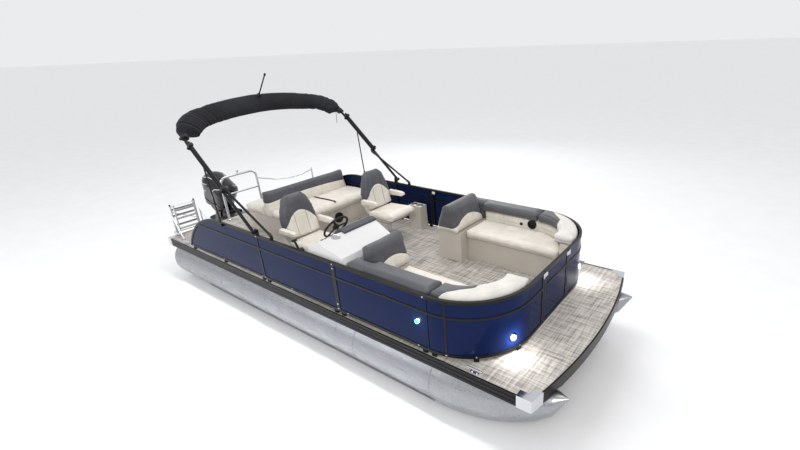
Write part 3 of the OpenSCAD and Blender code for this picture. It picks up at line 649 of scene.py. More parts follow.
def swell(mesh, name, pressure, cap):
    """Blows the closed cover up with the cloth solver and caps how far any point moves."""
    obj = bpy.data.objects.new(name, mesh)
    bpy.context.scene.collection.objects.link(obj)
    cloth = obj.modifiers.new("Cloth", "CLOTH")
    s = cloth.settings
    s.quality = 3
    s.mass = 0.4
    s.tension_stiffness = 12
    s.compression_stiffness = 12
    s.shear_stiffness = 6
    s.bending_stiffness = 1.5
    s.use_pressure = True
    s.uniform_pressure_force = pressure
    s.effector_weights.gravity = 0
    cloth.collision_settings.use_collision = False
    cloth.collision_settings.use_self_collision = False
    cloth.point_cache.frame_start = 1
    cloth.point_cache.frame_end = 7
    scene = bpy.context.scene
    before = coords(mesh)
    for f in range(1, 8):
        scene.frame_set(f)
    dg = bpy.context.evaluated_depsgraph_get()
    out = bpy.data.meshes.new_from_object(obj.evaluated_get(dg), depsgraph=dg)
    after = coords(out)
    step = after - before
    far = np.linalg.norm(step, axis=1, keepdims=True)
    put(out, before + step * np.minimum(1, cap / np.maximum(far, 1e-9)))
    bpy.data.objects.remove(obj)
    scene.frame_set(1)
    return out


def sew(mesh, channels):
    """Presses each sewn channel in. A channel is (function of the points giving the distance to it, width, depth)."""
    co, no = coords(mesh), normals(mesh)
    push = np.zeros(len(co))
    for distance, width, depth in channels:
        d = distance(co, no)
        push = np.maximum(push, depth * np.exp(-((d / width) ** 2)))
    put(mesh, co - no * push[:, None])


def crumple(mesh, amount, scale, seed):
    """Slow hollows and a few creases, as vinyl over foam has."""
    co, no = coords(mesh), normals(mesh)
    shift = Vector((seed * 3.1, seed * 1.7, seed * 0.9))
    broad = np.array([noise.noise(Vector(p) * scale + shift) for p in co])
    fine = np.array([noise.noise(Vector(p) * scale * 2.7 + shift) for p in co])
    h = broad + 0.4 * fine
    put(mesh, co + no * (h * amount)[:, None])


def pad(
    name, node, finish, body, slot, channels=(), keep_if=None, voxel=None, smooth=7, crown=None,
    inset=0.006, seed=1, bm=None,
):
    """A cushion made from its CAD solid: rounded, blown up, sewn and slightly crumpled."""
    voxel = voxel or size("pad_voxel")
    crown = size("pad_crown") if crown is None else crown
    mesh = remeshed(bm or solid_copy(node, keep_if), voxel, name)
    relax(mesh, smooth)
    put(mesh, coords(mesh) - normals(mesh) * inset)
    mesh = swell(mesh, name, 6.0, crown)
    relax(mesh, 2)
    depth = size("seam_depth")
    sew(mesh, [(f, w, depth * k) for f, w, k in channels])
    crumple(mesh, 0.0022, 6.5, seed)
    obj = keep(name, mesh, finish, body, slot=slot, replaces=(node,) if node else ())
    return obj


def across(axis, *values):
    """Distance to the nearest of several planes across an axis."""
    def distance(co, no):
        return np.min([np.abs(co[:, axis] - v) for v in values], axis=0)
    return distance


def where(test, inner):
    def distance(co, no):
        return np.where(test(co, no), inner(co, no), 9.0)
    return distance


def droop(centre, height, k):
    """Distance to the curved seam between the two tones of a backrest."""
    def distance(co, no):
        return np.abs(co[:, 2] + k * (co[:, 1] - centre) ** 2 - height)
    return distance


def snapped(obj, starts, direction, lift):
    """Points where rays from starts meet the piece, lifted off its surface."""
    bm = bmesh.new()
    bm.from_mesh(obj.data)
    tree = BVHTree.FromBMesh(bm)
    bm.free()
    out = []
    for s in starts:
        hit, normal, _, _ = tree.ray_cast(Vector(s), Vector(direction))
        if hit is not None:
            out.append(hit + normal * lift)
    return out


# ---------------------------------------------------------------- frames of moving assemblies

SLOPE = math.radians(41.4)
LEG = Vector((-math.cos(SLOPE), 0, math.sin(SLOPE)))
FACE = Vector((math.sin(SLOPE), 0, math.cos(SLOPE)))
ARCH_W, ARCH_R, CROWN_R, REACH = 1.292, 0.450, 3.400, 2.030
HALF = math.asin((ARCH_W - ARCH_R) / (CROWN_R - ARCH_R))
SPRING = REACH - CROWN_R + (CROWN_R - ARCH_R) * math.cos(HALF)
BOW_EYE = at(-0.555, 0, 0.692)


def on_bow(u, y, s):
    """A point of the folded top: u off its plane, y to port, s along its legs."""
    return BOW_EYE + FACE * u + Vector((0, y, 0)) + LEG * s


def bow_line(start=20.0, step=3.0):
    """Centreline of the bow from the starboard corner over the crown to port, as (y, s)."""
    pts = []
    a = start
    corner = 90 - math.degrees(HALF)
    while a < corner:
        t = math.radians(a)
        pts.append((ARCH_W - ARCH_R + ARCH_R * math.cos(t), SPRING + ARCH_R * math.sin(t)))
        a += step * 2
    n = 14
    half = [(
        CROWN_R * math.sin(HALF * (n - k) / n), REACH - CROWN_R + CROWN_R * math.cos(HALF * (n - k) / n),
    ) for k in range(n)]
    side = pts + half
    return [(-y, s) for y, s in side] + [(0, REACH)] + list(reversed(side))


TILT = math.radians(25)
MOTOR_EYE = Vector((-3.740 + SHIFT, 0, 0.690))


def on_motor(x, y, z):
    return MOTOR_EYE + Vector((x * math.cos(TILT) + z * math.sin(TILT), y, -x * math.sin(TILT) + z * math.cos(TILT)))


def turn_motor(v):
    return Vector((
        v[0] * math.cos(TILT) + v[2] * math.sin(TILT), v[1], -v[0] * math.sin(TILT) + v[2] * math.cos(TILT),
    ))


# ---------------------------------------------------------------- operators


class BOAT_OT_coats(bpy.types.Operator):
    """Coat the hull, rails, panels, helm and motor"""
    bl_idname = "boat.coats"
    bl_label = "Coatings"

    def execute(self, context):
        FINISH.update(make_finishes())
        for finish, nodes in COATS.items():
            for n in nodes:
                NODES[n].data.materials.clear()
                NODES[n].data.materials.append(FINISH[finish])
        return {"FINISHED"}


class BOAT_OT_chairs(bpy.types.Operator):
    """Upholster the two swivel chairs"""
    bl_idname = "boat.chairs"
    bl_label = "Chairs"

    def execute(self, context):
        for who, cx, cy, body, seed in (
            ("helm", *HELM_CHAIR, "helm_chair", 3), ("captain", *CAPTAIN_CHAIR, "captain_chair", 5),
        ):
            shell = solid_copy(who + "_seat", lambda c: c.z < DECK + 0.55)
            cut = DECK + 0.372
            lower = shell.copy()
            for bm, clear in ((lower, {"clear_outer": True}), (shell, {"clear_inner": True})):
                bmesh.ops.bisect_plane(
                    bm, geom=bm.verts[:] + bm.edges[:] + bm.faces[:], plane_co=(0, 0, cut), plane_no=(0, 0, 1),
                    **clear,
                )
                bmesh.ops.holes_fill(bm, edges=[e for e in bm.edges if e.is_boundary])
            from_bm(who + "_seat_base", lower, "base", body, slot="cream_plastic", replaces=(who + "_seat",))
            pad(who + "_seat_cushion", None, "cream", body, "cream_vinyl",
                bm=shell, voxel=0.0085, seed=seed, channels=[
                (where(lambda co, no: no[:, 2] > 0.2, across(1, cy - 0.165, cy + 0.165)), 0.008, 1.0),
                (
                    where(lambda co, no: (no[:, 2] > 0.2) & (np.abs(co[:, 1] - cy) < 0.165), across(0, cx + 0.215)),
                    0.008, 1.0,
                ),
                (where(lambda co, no: np.abs(no[:, 2]) < 0.8, across(2, DECK + 0.415)), 0.006, 0.5),
            ])
            for side, sign in (("starboard", -1), ("port", 1)):
                pad(f"{who}_armrest_{side}", None, "cream", body, "cream_vinyl",
                    voxel=0.006, seed=seed + sign, smooth=5, crown=0.006, inset=0.004,
                    bm=solid_copy(who + "_seat", lambda c, s=sign, y=cy: c.z > DECK + 0.55 and (c.y - y) * s > 0),
                    channels=[(where(lambda co, no: np.abs(no[:, 2]) < 0.7, across(2, DECK + 0.636)), 0.005, 0.6)])
            back = pad(who + "_backrest_pad", who + "_backrest", who + "_back", body, "grey_vinyl",
                voxel=0.0085, seed=seed + 7, crown=0.010, channels=[
                (
                    where(
                        lambda co, no: (no[:, 0] > 0.1) & (co[:, 2] > DECK + 0.50), across(1, cy - 0.088, cy + 0.088),
                    ),
                    0.007, 1.1,
                ),
                (where(lambda co, no: no[:, 0] > -0.2, droop(cy, *CHAIR_SEAM)), 0.007, 1.0),
                (where(lambda co, no: no[:, 0] < -0.3, across(2, DECK + 0.60)), 0.008, 0.7),
            ])
            paths = []
            for sign in (-1, 1):
                rays = [(
                    cx + 0.6, cy + sign * (0.088 + 0.03 * max(0, (0.83 - z) / 0.3)), DECK + z,
                ) for z in np.linspace(0.53, 0.99, 22)]
                paths.append(snapped(back, [(x, cy + sign * 0.088, z) for x, _, z in rays], (-1, 0, 0), -0.001))
            rays = [(cx + 0.6, cy + y, CHAIR_SEAM[0] - CHAIR_SEAM[1] * y * y) for y in np.linspace(-0.205, 0.205, 31)]
            paths.append(snapped(back, rays, (-1, 0, 0), 0.0))
            runs(who + "_backrest_piping", paths, size("piping_r") * 0.7, "grey", body, slot="grey_vinyl")
            bm = bmesh.new()
            turned(
                bm, place((cx, cy, DECK + 0.29)), [(0.0, 0), (0.075, 0), (0.085, 0.006), (0.085, 0.014), (0.0, 0.02)],
            )
            turned(
                bm, place((cx, cy, DECK + 0.045)),
                [(0.062, 0), (0.064, 0.006), (0.050, 0.018), (0.038, 0.03), (0.036, 0.04)],
            )
            for k in range(6):
                t = math.radians(60 * k)
                turned(
                    bm, place((cx + 0.095 * math.cos(t), cy + 0.095 * math.sin(t), DECK + 0.0125)),
                    [(0.0, 0.006), (0.007, 0.0055), (0.009, 0.002), (0.009, 0.0)], steps=14,
                )
            from_bm(who + "_pedestal_trim", bm, "chrome", "boat", slot="chrome")
            bm = bmesh.new()
            block(bm, (cx - 0.05, cy + 0.2485, DECK + 0.340), (cx + 0.03, cy + 0.262, DECK + 0.362), 0.004)
            block(bm, (cx + 0.02, cy + 0.25, DECK + 0.345), (cx + 0.11, cy + 0.262, DECK + 0.357), 0.005)
            from_bm(who + "_slide_lever", bm, "plastic", body, slot="black_plastic")
        return {"FINISHED"}


class BOAT_OT_bow_lounges(bpy.types.Operator):
    """Upholster the bow lounges"""
    bl_idname = "boat.bow_lounges"
    bl_label = "Bow lounges"

    def execute(self, context):
        x0, cx, cy = 1.293 + SHIFT, CORNER[0], CORNER[1]

        def ring(radius):
            return lambda co, no: np.abs(np.where(
                co[:, 0] > cx, np.hypot(co[:, 0] - cx, np.abs(co[:, 1]) - cy), np.abs(co[:, 1]) - cy,
            ) - radius)

        top = lambda co, no: no[:, 2] > 0.3
        for side, sign, seed in (("port", 1, 11), ("starboard", -1, 17)):
            mine = lambda c, s=sign: c.y * s > 0
            pad(f"bow_seat_{side}", "bow_bench_seats", "cream", "boat", "cream_vinyl",
                keep_if=mine, seed=seed, crown=0.016, channels=[
                (where(top, across(0, x0 + 0.43, cx)), 0.010, 1.0),
                (where(lambda co, no: np.abs(no[:, 2]) < 0.75, across(2, DECK + 0.355)), 0.008, 0.7),
                (where(top, ring(0.045)), 0.010, 0.7),
            ])
            pad(f"bow_side_pad_{side}", "bow_side_pads", "cream", "boat", "cream_vinyl",
                keep_if=mine, seed=seed + 1, crown=0.008, channels=[
                (across(0, x0 + 0.30, x0 + 0.62, cx), 0.009, 1.0),
                (where(lambda co, no: np.abs(no[:, 2]) < 0.6, across(2, DECK + 0.46)), 0.008, 0.8),
            ])
            pad(f"bow_corner_cushion_{side}", "bow_corner_pads", side + "_corner", "boat", "cream_vinyl",
                keep_if=mine, seed=seed + 2, crown=0.014, channels=[
                (where(top, ring(0.455)), 0.009, 0.9),
                (
                    lambda co,
                    no: np.abs(co[:, 0] - cx - np.minimum(
                        SLANT_LIMIT, SLANT_START + SLANT_RATE * (SLANT_OUTER - np.abs(co[:, 1])),
                    )),
                    0.007, 1.0,
                ),
                (where(lambda co, no: np.abs(no[:, 2]) < 0.6, across(2, DECK + 0.612)), 0.007, 0.8),
            ])
            pad(f"bow_coaming_cushion_{side}", "bow_coamings", "grey", "boat", "grey_vinyl",
                keep_if=mine, seed=seed + 3, crown=0.012, channels=[
                (across(0, 1.2925 + SHIFT), 0.008, 0.8),
                (where(lambda co, no: np.abs(no[:, 2]) < 0.6, across(2, DECK + 0.612)), 0.007, 0.8),
            ])
            mid, seam_z, droop_rate = PORT_SEAM if sign > 0 else STARBOARD_SEAM
            half = 0.326 if sign > 0 else 0.272
            back = pad(f"bow_backrest_{side}", "bow_backrests", side + "_back", "boat", "grey_vinyl",
                keep_if=mine, seed=seed + 4, crown=0.014, channels=[
                (
                    where(
                        lambda co, no: (no[:, 0] > 0.05) & (co[:, 2] < DECK + 0.70),
                        across(1, mid - half * 0.42, mid + half * 0.42),
                    ),
                    0.009, 1.0,
                ),
                (where(lambda co, no: no[:, 0] > -0.1, droop(mid, seam_z, droop_rate)), 0.008, 1.1),
                (where(lambda co, no: no[:, 0] < -0.3, across(1, mid - half * 0.5, mid + half * 0.5)), 0.009, 0.9),
            ])
            rays = [(x0 + 0.6, mid + y, seam_z - droop_rate * y * y) for y in np.linspace(-half * 0.9, half * 0.9, 31)]
            runs(
                f"bow_backrest_piping_{side}", [snapped(back, rays, (-1, 0, 0), 0.0)], size("piping_r") * 0.75,
                "grey", "boat", slot="grey_vinyl",
            )
        return {"FINISHED"}


class BOAT_OT_stern_lounge(bpy.types.Operator):
    """Upholster the stern lounge"""
    bl_idname = "boat.stern_lounge"
    bl_label = "Stern lounge"

    def execute(self, context):
        ys = (0.185, 0.705)
        fore = lambda c: c.x > -1.86 + SHIFT
        aft = lambda c: c.x < -1.86 + SHIFT
        for name, test, seed in (("stern_seat_fore", fore, 23), ("stern_seat_aft", aft, 27)):
            pad(name, "stern_lounge_seats", "cream", "boat", "cream_vinyl",
                keep_if=test, seed=seed, crown=0.018, channels=[
                (where(lambda co, no: no[:, 2] > 0.1, across(1, *ys)), 0.010, 1.2),
                (where(lambda co, no: np.abs(no[:, 2]) < 0.75, across(2, DECK + 0.345)), 0.008, 0.7),
                (where(lambda co, no: no[:, 2] > 0.3, across(0, -1.245 + SHIFT, -2.40 + SHIFT)), 0.009, 0.8),
            ])
        back = pad("stern_backrest", "stern_lounge_back", "stern_back", "boat", "grey_vinyl",
            seed=31, crown=0.012, channels=[
            (where(lambda co, no: np.abs(no[:, 0]) > 0.1, across(1, *ys)), 0.009, 1.1),
            (droop(*STERN_SEAM), 0.008, 1.1),
        ])
        mid, seam_z, droop_rate = STERN_SEAM
        rays = [(-1.2 + SHIFT, y, seam_z - droop_rate * (y - mid) ** 2) for y in np.linspace(-0.31, 1.21, 60)]
        runs(
            "stern_backrest_piping", [snapped(back, rays, (-1, 0, 0), 0.0)], size("piping_r") * 0.75, "grey", "boat",
            slot="grey_vinyl",
        )
        # Pull strap in the middle of the fore seat
        seat = bpy.data.objects["stern_seat_fore"]
        path = snapped(
            seat, [(x + SHIFT, 0.445, DECK + 1.2) for x in np.linspace(-1.70, -1.16, 20)], (0, 0, -1), 0.002,
        )
        bm = bmesh.new()
        for dy in (-0.016, -0.008, 0, 0.008, 0.016):
            mesh = run([p + Vector((0, dy, 0)) for p in path], 0.0045)
            bm.from_mesh(mesh)
        from_bm("stern_seat_strap", bm, "rubber", "boat", slot="black_plastic")
        bm = bmesh.new()
        for y in (-0.12, 0.30):
            block(bm, (-1.1795 + SHIFT, y - 0.13, DECK + 0.05), (-1.1715 + SHIFT, y + 0.05, DECK + 0.25), 0.003)
        block(bm, (-1.1795 + SHIFT, 0.66, DECK + 0.05), (-1.1715 + SHIFT, 1.16, DECK + 0.25), 0.003)
        from_bm("stern_base_doors", bm, "base", "boat", slot="cream_plastic")
        return {"FINISHED"}


class BOAT_OT_boot(bpy.types.Operator):
    """Zip the fabric boot over the folded top"""
    bl_idname = "boat.boot"
    bl_label = "Top boot"

    def execute(self, context):
        line = bow_line(18.0, 2.0)
        mesh = run([on_bow(0, y, s) for y, s in line], 0.098, sides=9)
        bm = bmesh.new()
        bm.from_mesh(mesh)
        bmesh.ops.subdivide_edges(bm, edges=bm.edges, cuts=2, use_grid_fill=True)
        bmesh.ops.recalc_face_normals(bm, faces=bm.faces)
        bm.to_mesh(mesh)
        bm.free()
        co, no = coords(mesh), normals(mesh)
        rel = co - np.array(BOW_EYE)
        y, s, u = rel[:, 1], rel @ np.array(LEG), rel @ np.array(FACE)
        bend = np.clip((np.abs(y) - 0.45) / 0.7, 0, 1)
        # Inwards in the plane of the bow, towards the middle of the opening
        axis = np.array([(q[0], q[1]) for q in bow_line(18.0, 1.0)])
        near = np.argmin((y[:, None] - axis[None, :, 0]) ** 2 + (s[:, None] - axis[None, :, 1]) ** 2, axis=1)
        to_port, up_leg = np.array((0, 1, 0)), np.array(LEG)
        line_y, line_s = axis[near, 0][:, None], axis[near, 1][:, None]
        centre = np.array(BOW_EYE) + line_y * to_port + line_s * up_leg
        inwards = -line_y * 0.8 * to_port + (SPRING - 0.6 - line_s) * up_leg
        inwards /= np.linalg.norm(inwards, axis=1, keepdims=True)
        inner = np.clip(np.sum(no * inwards, axis=1), 0, 1)
        along = np.minimum(near, len(axis) - 1 - near) / len(axis)
        taper = np.clip(along / 0.09, 0, 1)
        taper = taper * taper * (3 - 2 * taper)
        h = np.zeros(len(co))
        for k in range(len(co)):
            q = Vector((y[k] * 2.2, s[k] * 3.2, u[k] * 2.0))
            # Creases fan out from the inside of each corner
            fan = math.atan2(s[k] - 1.35, abs(y[k]) - 0.60)
            crease = abs(noise.noise(Vector((fan * 8.0, u[k] * 3.0, math.copysign(3.3, y[k])))))
            h[k] = 0.007 * noise.noise(q * 1.6) - (1 - min(1, crease * 4.5)) * 0.014 * bend[k]
        shape = co + no * (h + 0.002)[:, None] + inwards * (0.10 * inner * taper)[:, None]
        pinch = (0.42 + 0.58 * taper)[:, None]
        put(mesh, centre + (shape - centre) * pinch)
        relax(mesh, 2)
        boot = keep("top_boot", mesh, "canvas", "bimini", slot="canvas", replaces=("bimini_boot",))
        # Seam cords and the drawn ends
        paths = [snapped(
            boot, [on_bow(side * 0.4, y, s + 0.02) for y, s in line[5:-5]], FACE * -side, 0.0,
        ) for side in (-1, 1)]
        runs("boot_seams", paths, 0.0035, "canvas", "bimini", slot="canvas")
        bm = bmesh.new()
        for sign in (-1, 1):
            y, s = line[-1][0] * sign, line[-1][1]
            tangent = Vector((0, -sign * math.sin(math.radians(18)), 0)) + LEG * math.cos(math.radians(18))
            turned(
                bm, place(on_bow(0.004, y, s - 0.012), tangent),
                [(0.024, -0.02), (0.048, -0.02), (0.051, 0.0), (0.050, 0.024), (0.024, 0.03)], steps=28,
            )
            block(
                bm, (-0.016, -0.03, -0.018), (0.016, 0.03, 0.018), 0.006,
                matrix=Matrix.Translation(on_bow(0.0, y + sign * 0.038, s - 0.02)),
            )
        from_bm("boot_end_straps", bm, "rubber", "bimini", slot="black_plastic")
        # Loose end of the drawstring at the port corner
        start = on_bow(0.0, line[-1][0] - 0.062, line[-1][1] + 0.02)
        tie = [start + Vector((
            0.012 * math.sin(2.2 * t), -0.020 * math.sin(1.6 * t), -0.21 * t,
        )) for t in np.linspace(0, 1, 40)]
        length = sum((b - a).length for a, b in zip(tie, tie[1:]))
        cord = keep("boot_tie", run(tie, 0.0035, smooth=False), "rubber", "bimini", slot="black_plastic")
        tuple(tie[0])
        [list(p) for p in tie]
        return {"FINISHED"}


class BOAT_OT_top_trim(bpy.types.Operator):
    """Fit the pins, brace ends and mast base of the folding top"""
    bl_idname = "boat.top_trim"
    bl_label = "Top fittings"

    def execute(self, context):
        fixed, pins = bmesh.new(), bmesh.new()
        for sign in (-1, 1):
            for s in (0.68, 1.42):
                for du in (-0.018, 0.062):
                    turned(
                        pins, place(on_bow(du, sign * 1.320, s), (0, sign, 0)),
                        [(0.0, 0.006), (0.009, 0.005), (0.011, 0.001), (0.011, -0.003)], steps=16,
                    )
            turned(
                pins, place(on_bow(0, sign * 1.317, 0), (0, sign, 0)),
                [(0.0, 0.009), (0.012, 0.008), (0.016, 0.002), (0.016, -0.003)], steps=20,
            )
            top = at(-1.035, sign * 1.248, 1.116)
            turned(
                fixed, place(top, (-0.875, 0, 0.485)),
                [(0.0, 0.022), (0.014, 0.018), (0.019, 0.006), (0.019, -0.05), (0.0155, -0.055)], steps=24,
            )
            turned(
                fixed, place(at(-0.262, sign * 1.248, 0.692), (-0.875, 0, 0.485)),
                [(0.0, -0.02), (0.016, -0.016), (0.019, 0.0), (0.019, 0.05), (0.0155, 0.055)], steps=24,
            )
            turned(
                fixed, place(at(-1.3385, sign * 1.292, 0.700), (0, 0, 1)),
                [(0.0095, -0.02), (0.014, -0.015), (0.014, 0.03), (0.0095, 0.04)], steps=20,
            )
        from_bm("bow_pins", pins, "plastic", "bimini", slot="black_plastic")
        from_bm("brace_ends", fixed, "plastic", "boat", slot="black_plastic")
        bm = bmesh.new()
        axis = FACE
        base = on_bow(0.103, 0.010, 2.028)
        turned(
            bm, place(base, axis),
            [
                (0.0, 0.003), (0.034, 0.0), (0.034, 0.006), (0.027, 0.018), (0.026, 0.036), (0.010, 0.044),
                (0.0095, 0.05),
            ],
            steps=32,
        )
        from_bm("mast_base", bm, "plastic", "bimini", slot="black_plastic")
        return {"FINISHED"}


class BOAT_OT_fence_trim(bpy.types.Operator):
    """Bolt and latch the fence, and fit the side lights and lamp bezels"""
    bl_idname = "boat.fence_trim"
    bl_label = "Fence fittings"

    def execute(self, context):
        heads = [
            (0.0, 0.0045), (0.004, 0.0043), (size("bolt_r"), 0.0025), (size("bolt_r") + 0.001, 0.0),
            (size("bolt_r") + 0.001, -0.002),
        ]
        bm = bmesh.new()
        for sign in (-1, 1):
            spots = [(0.849, z) for z in (0.075, 0.135, 0.575, 0.625)]
            spots += [(-0.564, z) for z in (0.057, 0.63)] + [(2.09, 0.63)]
            spots += [(x, 0.062) for x in (-2.44, -1.56, -0.62, 0.0, 1.0, 2.0)]
            for x, z in spots:
                if sign > 0 and 0.2 < x < 0.86 and z < 0.6 and z > 0.2:
                    continue
                turned(bm, place(at(x, sign * FENCE_Y, z), (0, sign, 0)), heads, steps=14)
        for sign in (-1, 1):
            for a in (15, 52, 75):
                t = math.radians(a)
                p = Vector((
                    CORNER[0] + CORNER_R * math.cos(t), sign * (CORNER[1] + CORNER_R * math.sin(t)), DECK + 0.056,
                ))
                turned(bm, place(p, (math.cos(t), sign * math.sin(t), 0)), heads, steps=14)
        from_bm("fence_bolts", bm, "chrome", "boat", slot="chrome")
        # Gate latches: a white paddle in a polished keeper
        front = 2.840
        fixed, leaf = bmesh.new(), bmesh.new()
        for y in (0.318, -0.318):
            block(
                fixed, (front + SHIFT, y - 0.016, DECK + 0.575), (front + SHIFT + 0.010, y + 0.016, DECK + 0.635),
                0.003,
            )
        block(fixed, (0.168 + SHIFT, FENCE_Y, DECK + 0.56), (0.196 + SHIFT, FENCE_Y + 0.010, DECK + 0.62), 0.003)
        from_bm("gate_keepers", fixed, "chrome", "boat", slot="chrome")
        for y in (0.268, -0.268):
            block(
                leaf, (front + SHIFT, y - 0.022, DECK + 0.592), (front + SHIFT + 0.012, y + 0.022, DECK + 0.628),
                0.004,
            )
        block(leaf, (front - 0.046 + SHIFT, -0.285, DECK + 0.58), (front - 0.033 + SHIFT, -0.225, DECK + 0.62), 0.004)
        from_bm("bow_gate_latch", leaf, "gelcoat", "bow_gate", slot="gelcoat")
        leaf = bmesh.new()
        block(leaf, (0.214 + SHIFT, FENCE_Y, DECK + 0.575), (0.262 + SHIFT, FENCE_Y + 0.012, DECK + 0.612), 0.004)
        block(
            leaf, (0.214 + SHIFT, FENCE_Y - 0.045, DECK + 0.575), (0.27 + SHIFT, FENCE_Y - 0.033, DECK + 0.615),
            0.004,
        )
        from_bm("side_gate_latch", leaf, "gelcoat", "side_gate", slot="gelcoat")
        # Side lights and docking lamps: bezels, and coloured lenses
        bezel = bmesh.new()
        rim = [(0.020, 0.0), (0.027, 0.0), (0.028, 0.003), (0.025, 0.007), (0.0205, 0.0075)]
        lens = [(0.0, 0.013), (0.012, 0.012), (0.019, 0.008), (0.020, 0.001)]
        for side, sign in (("green", -1), ("red", 1)):
            turned(bezel, place(at(SIDE_LIGHT_X, sign * LAMP_FACE, SIDE_LIGHT_Z), (0, sign, 0)), rim, steps=32)
            glass = bmesh.new()
            turned(glass, place(at(SIDE_LIGHT_X, sign * LAMP_FACE, SIDE_LIGHT_Z), (0, sign, 0)), lens, steps=32)
            from_bm("side_light_" + side, glass, side, "boat", slot="lens")
            t = DOCK_LAMP_TURN
            d = Vector((math.cos(t), sign * math.sin(t), 0))
            p = Vector((CORNER[0], sign * CORNER[1], DECK + 0.185)) + d * (CORNER_R + 0.008)
            turned(bezel, place(p, d), [(r * 1.3, h) for r, h in rim], steps=32)
        from_bm("lamp_bezels", bezel, "chrome", "boat", slot="chrome")
        return {"FINISHED"}


def small_lamp(name, position, energy, colour=(1, 1, 1), radius=0.02):
    """A point light that shows only by what it lights."""
    data = bpy.data.lights.new(name, "POINT")
    data.energy, data.color, data.shadow_soft_size = energy, colour, radius
    lamp = bpy.data.objects.new(name, data)
    lamp.location = position
    lamp.visible_camera = lamp.visible_glossy = False
    bpy.context.scene.collection.objects.link(lamp)


class BOAT_OT_hull_trim(bpy.types.Operator):
    """Add weld beads, plugs and the lights under the deck"""
    bl_idname = "boat.hull_trim"
    bl_label = "Hull fittings"

    def execute(self, context):
        r, tz = TUBE_R, TUBE_Z
        bm = bmesh.new()
        for sign in (-1, 1):
            for x in (-1.83, -0.42, 0.99, 2.092):
                bead = run(
                    [(
                        x + SHIFT, sign * TUBE_Y + (r + 0.0005) * math.cos(t), tz + (r + 0.0005) * math.sin(t),
                    ) for t in np.linspace(0, 2 * math.pi, 72, endpoint=False)],
                    0.0045, closed=True, sides=1,
                )
                bm.from_mesh(bead)
        from_bm("tube_welds", bm, "weld", "boat", slot="aluminium")
        bm = bmesh.new()
        for sign in (-1, 1):
            turned(
                bm, place((-3.290 + SHIFT, sign * TUBE_Y, tz - 0.22), (-1, 0, 0)),
                [(0.0, 0.012), (0.012, 0.012), (0.016, 0.010), (0.022, 0.003), (0.022, -0.002)], steps=24,
            )
        from_bm("drain_plugs", bm, "chrome", "boat", slot="chrome")
        count = size("leds")
        bm = bmesh.new()
        for sign in (-1, 1):
            for k in range(count):
                x = -2.75 + 5.0 * k / max(1, count - 1)
                turned(
                    bm, place(at(x, sign * 1.235, -0.104), (0, 0, -1)),
                    [(0.0, 0.008), (0.016, 0.007), (0.020, 0.002), (0.020, -0.001)], steps=16,
                )
                small_lamp("deck_light", at(x, sign * 1.262, -0.165), 9.0, (0.93, 0.96, 1.0), 0.03)
        from_bm("deck_lights", bm, "led", "boat", slot="lens")
        for sign in (-1, 1):
            t = DOCK_LAMP_TURN
            d = Vector((math.cos(t), sign * math.sin(t), 0))
            small_lamp("dock_light", Vector((CORNER[0], sign * CORNER[1], DECK + 0.17)) + d * (CORNER_R + 0.07), 5.0)
        small_lamp("side_glow", at(SIDE_LIGHT_X, -1.33, SIDE_LIGHT_Z), 0.8, (0.1, 1.0, 0.6))
        return {"FINISHED"}


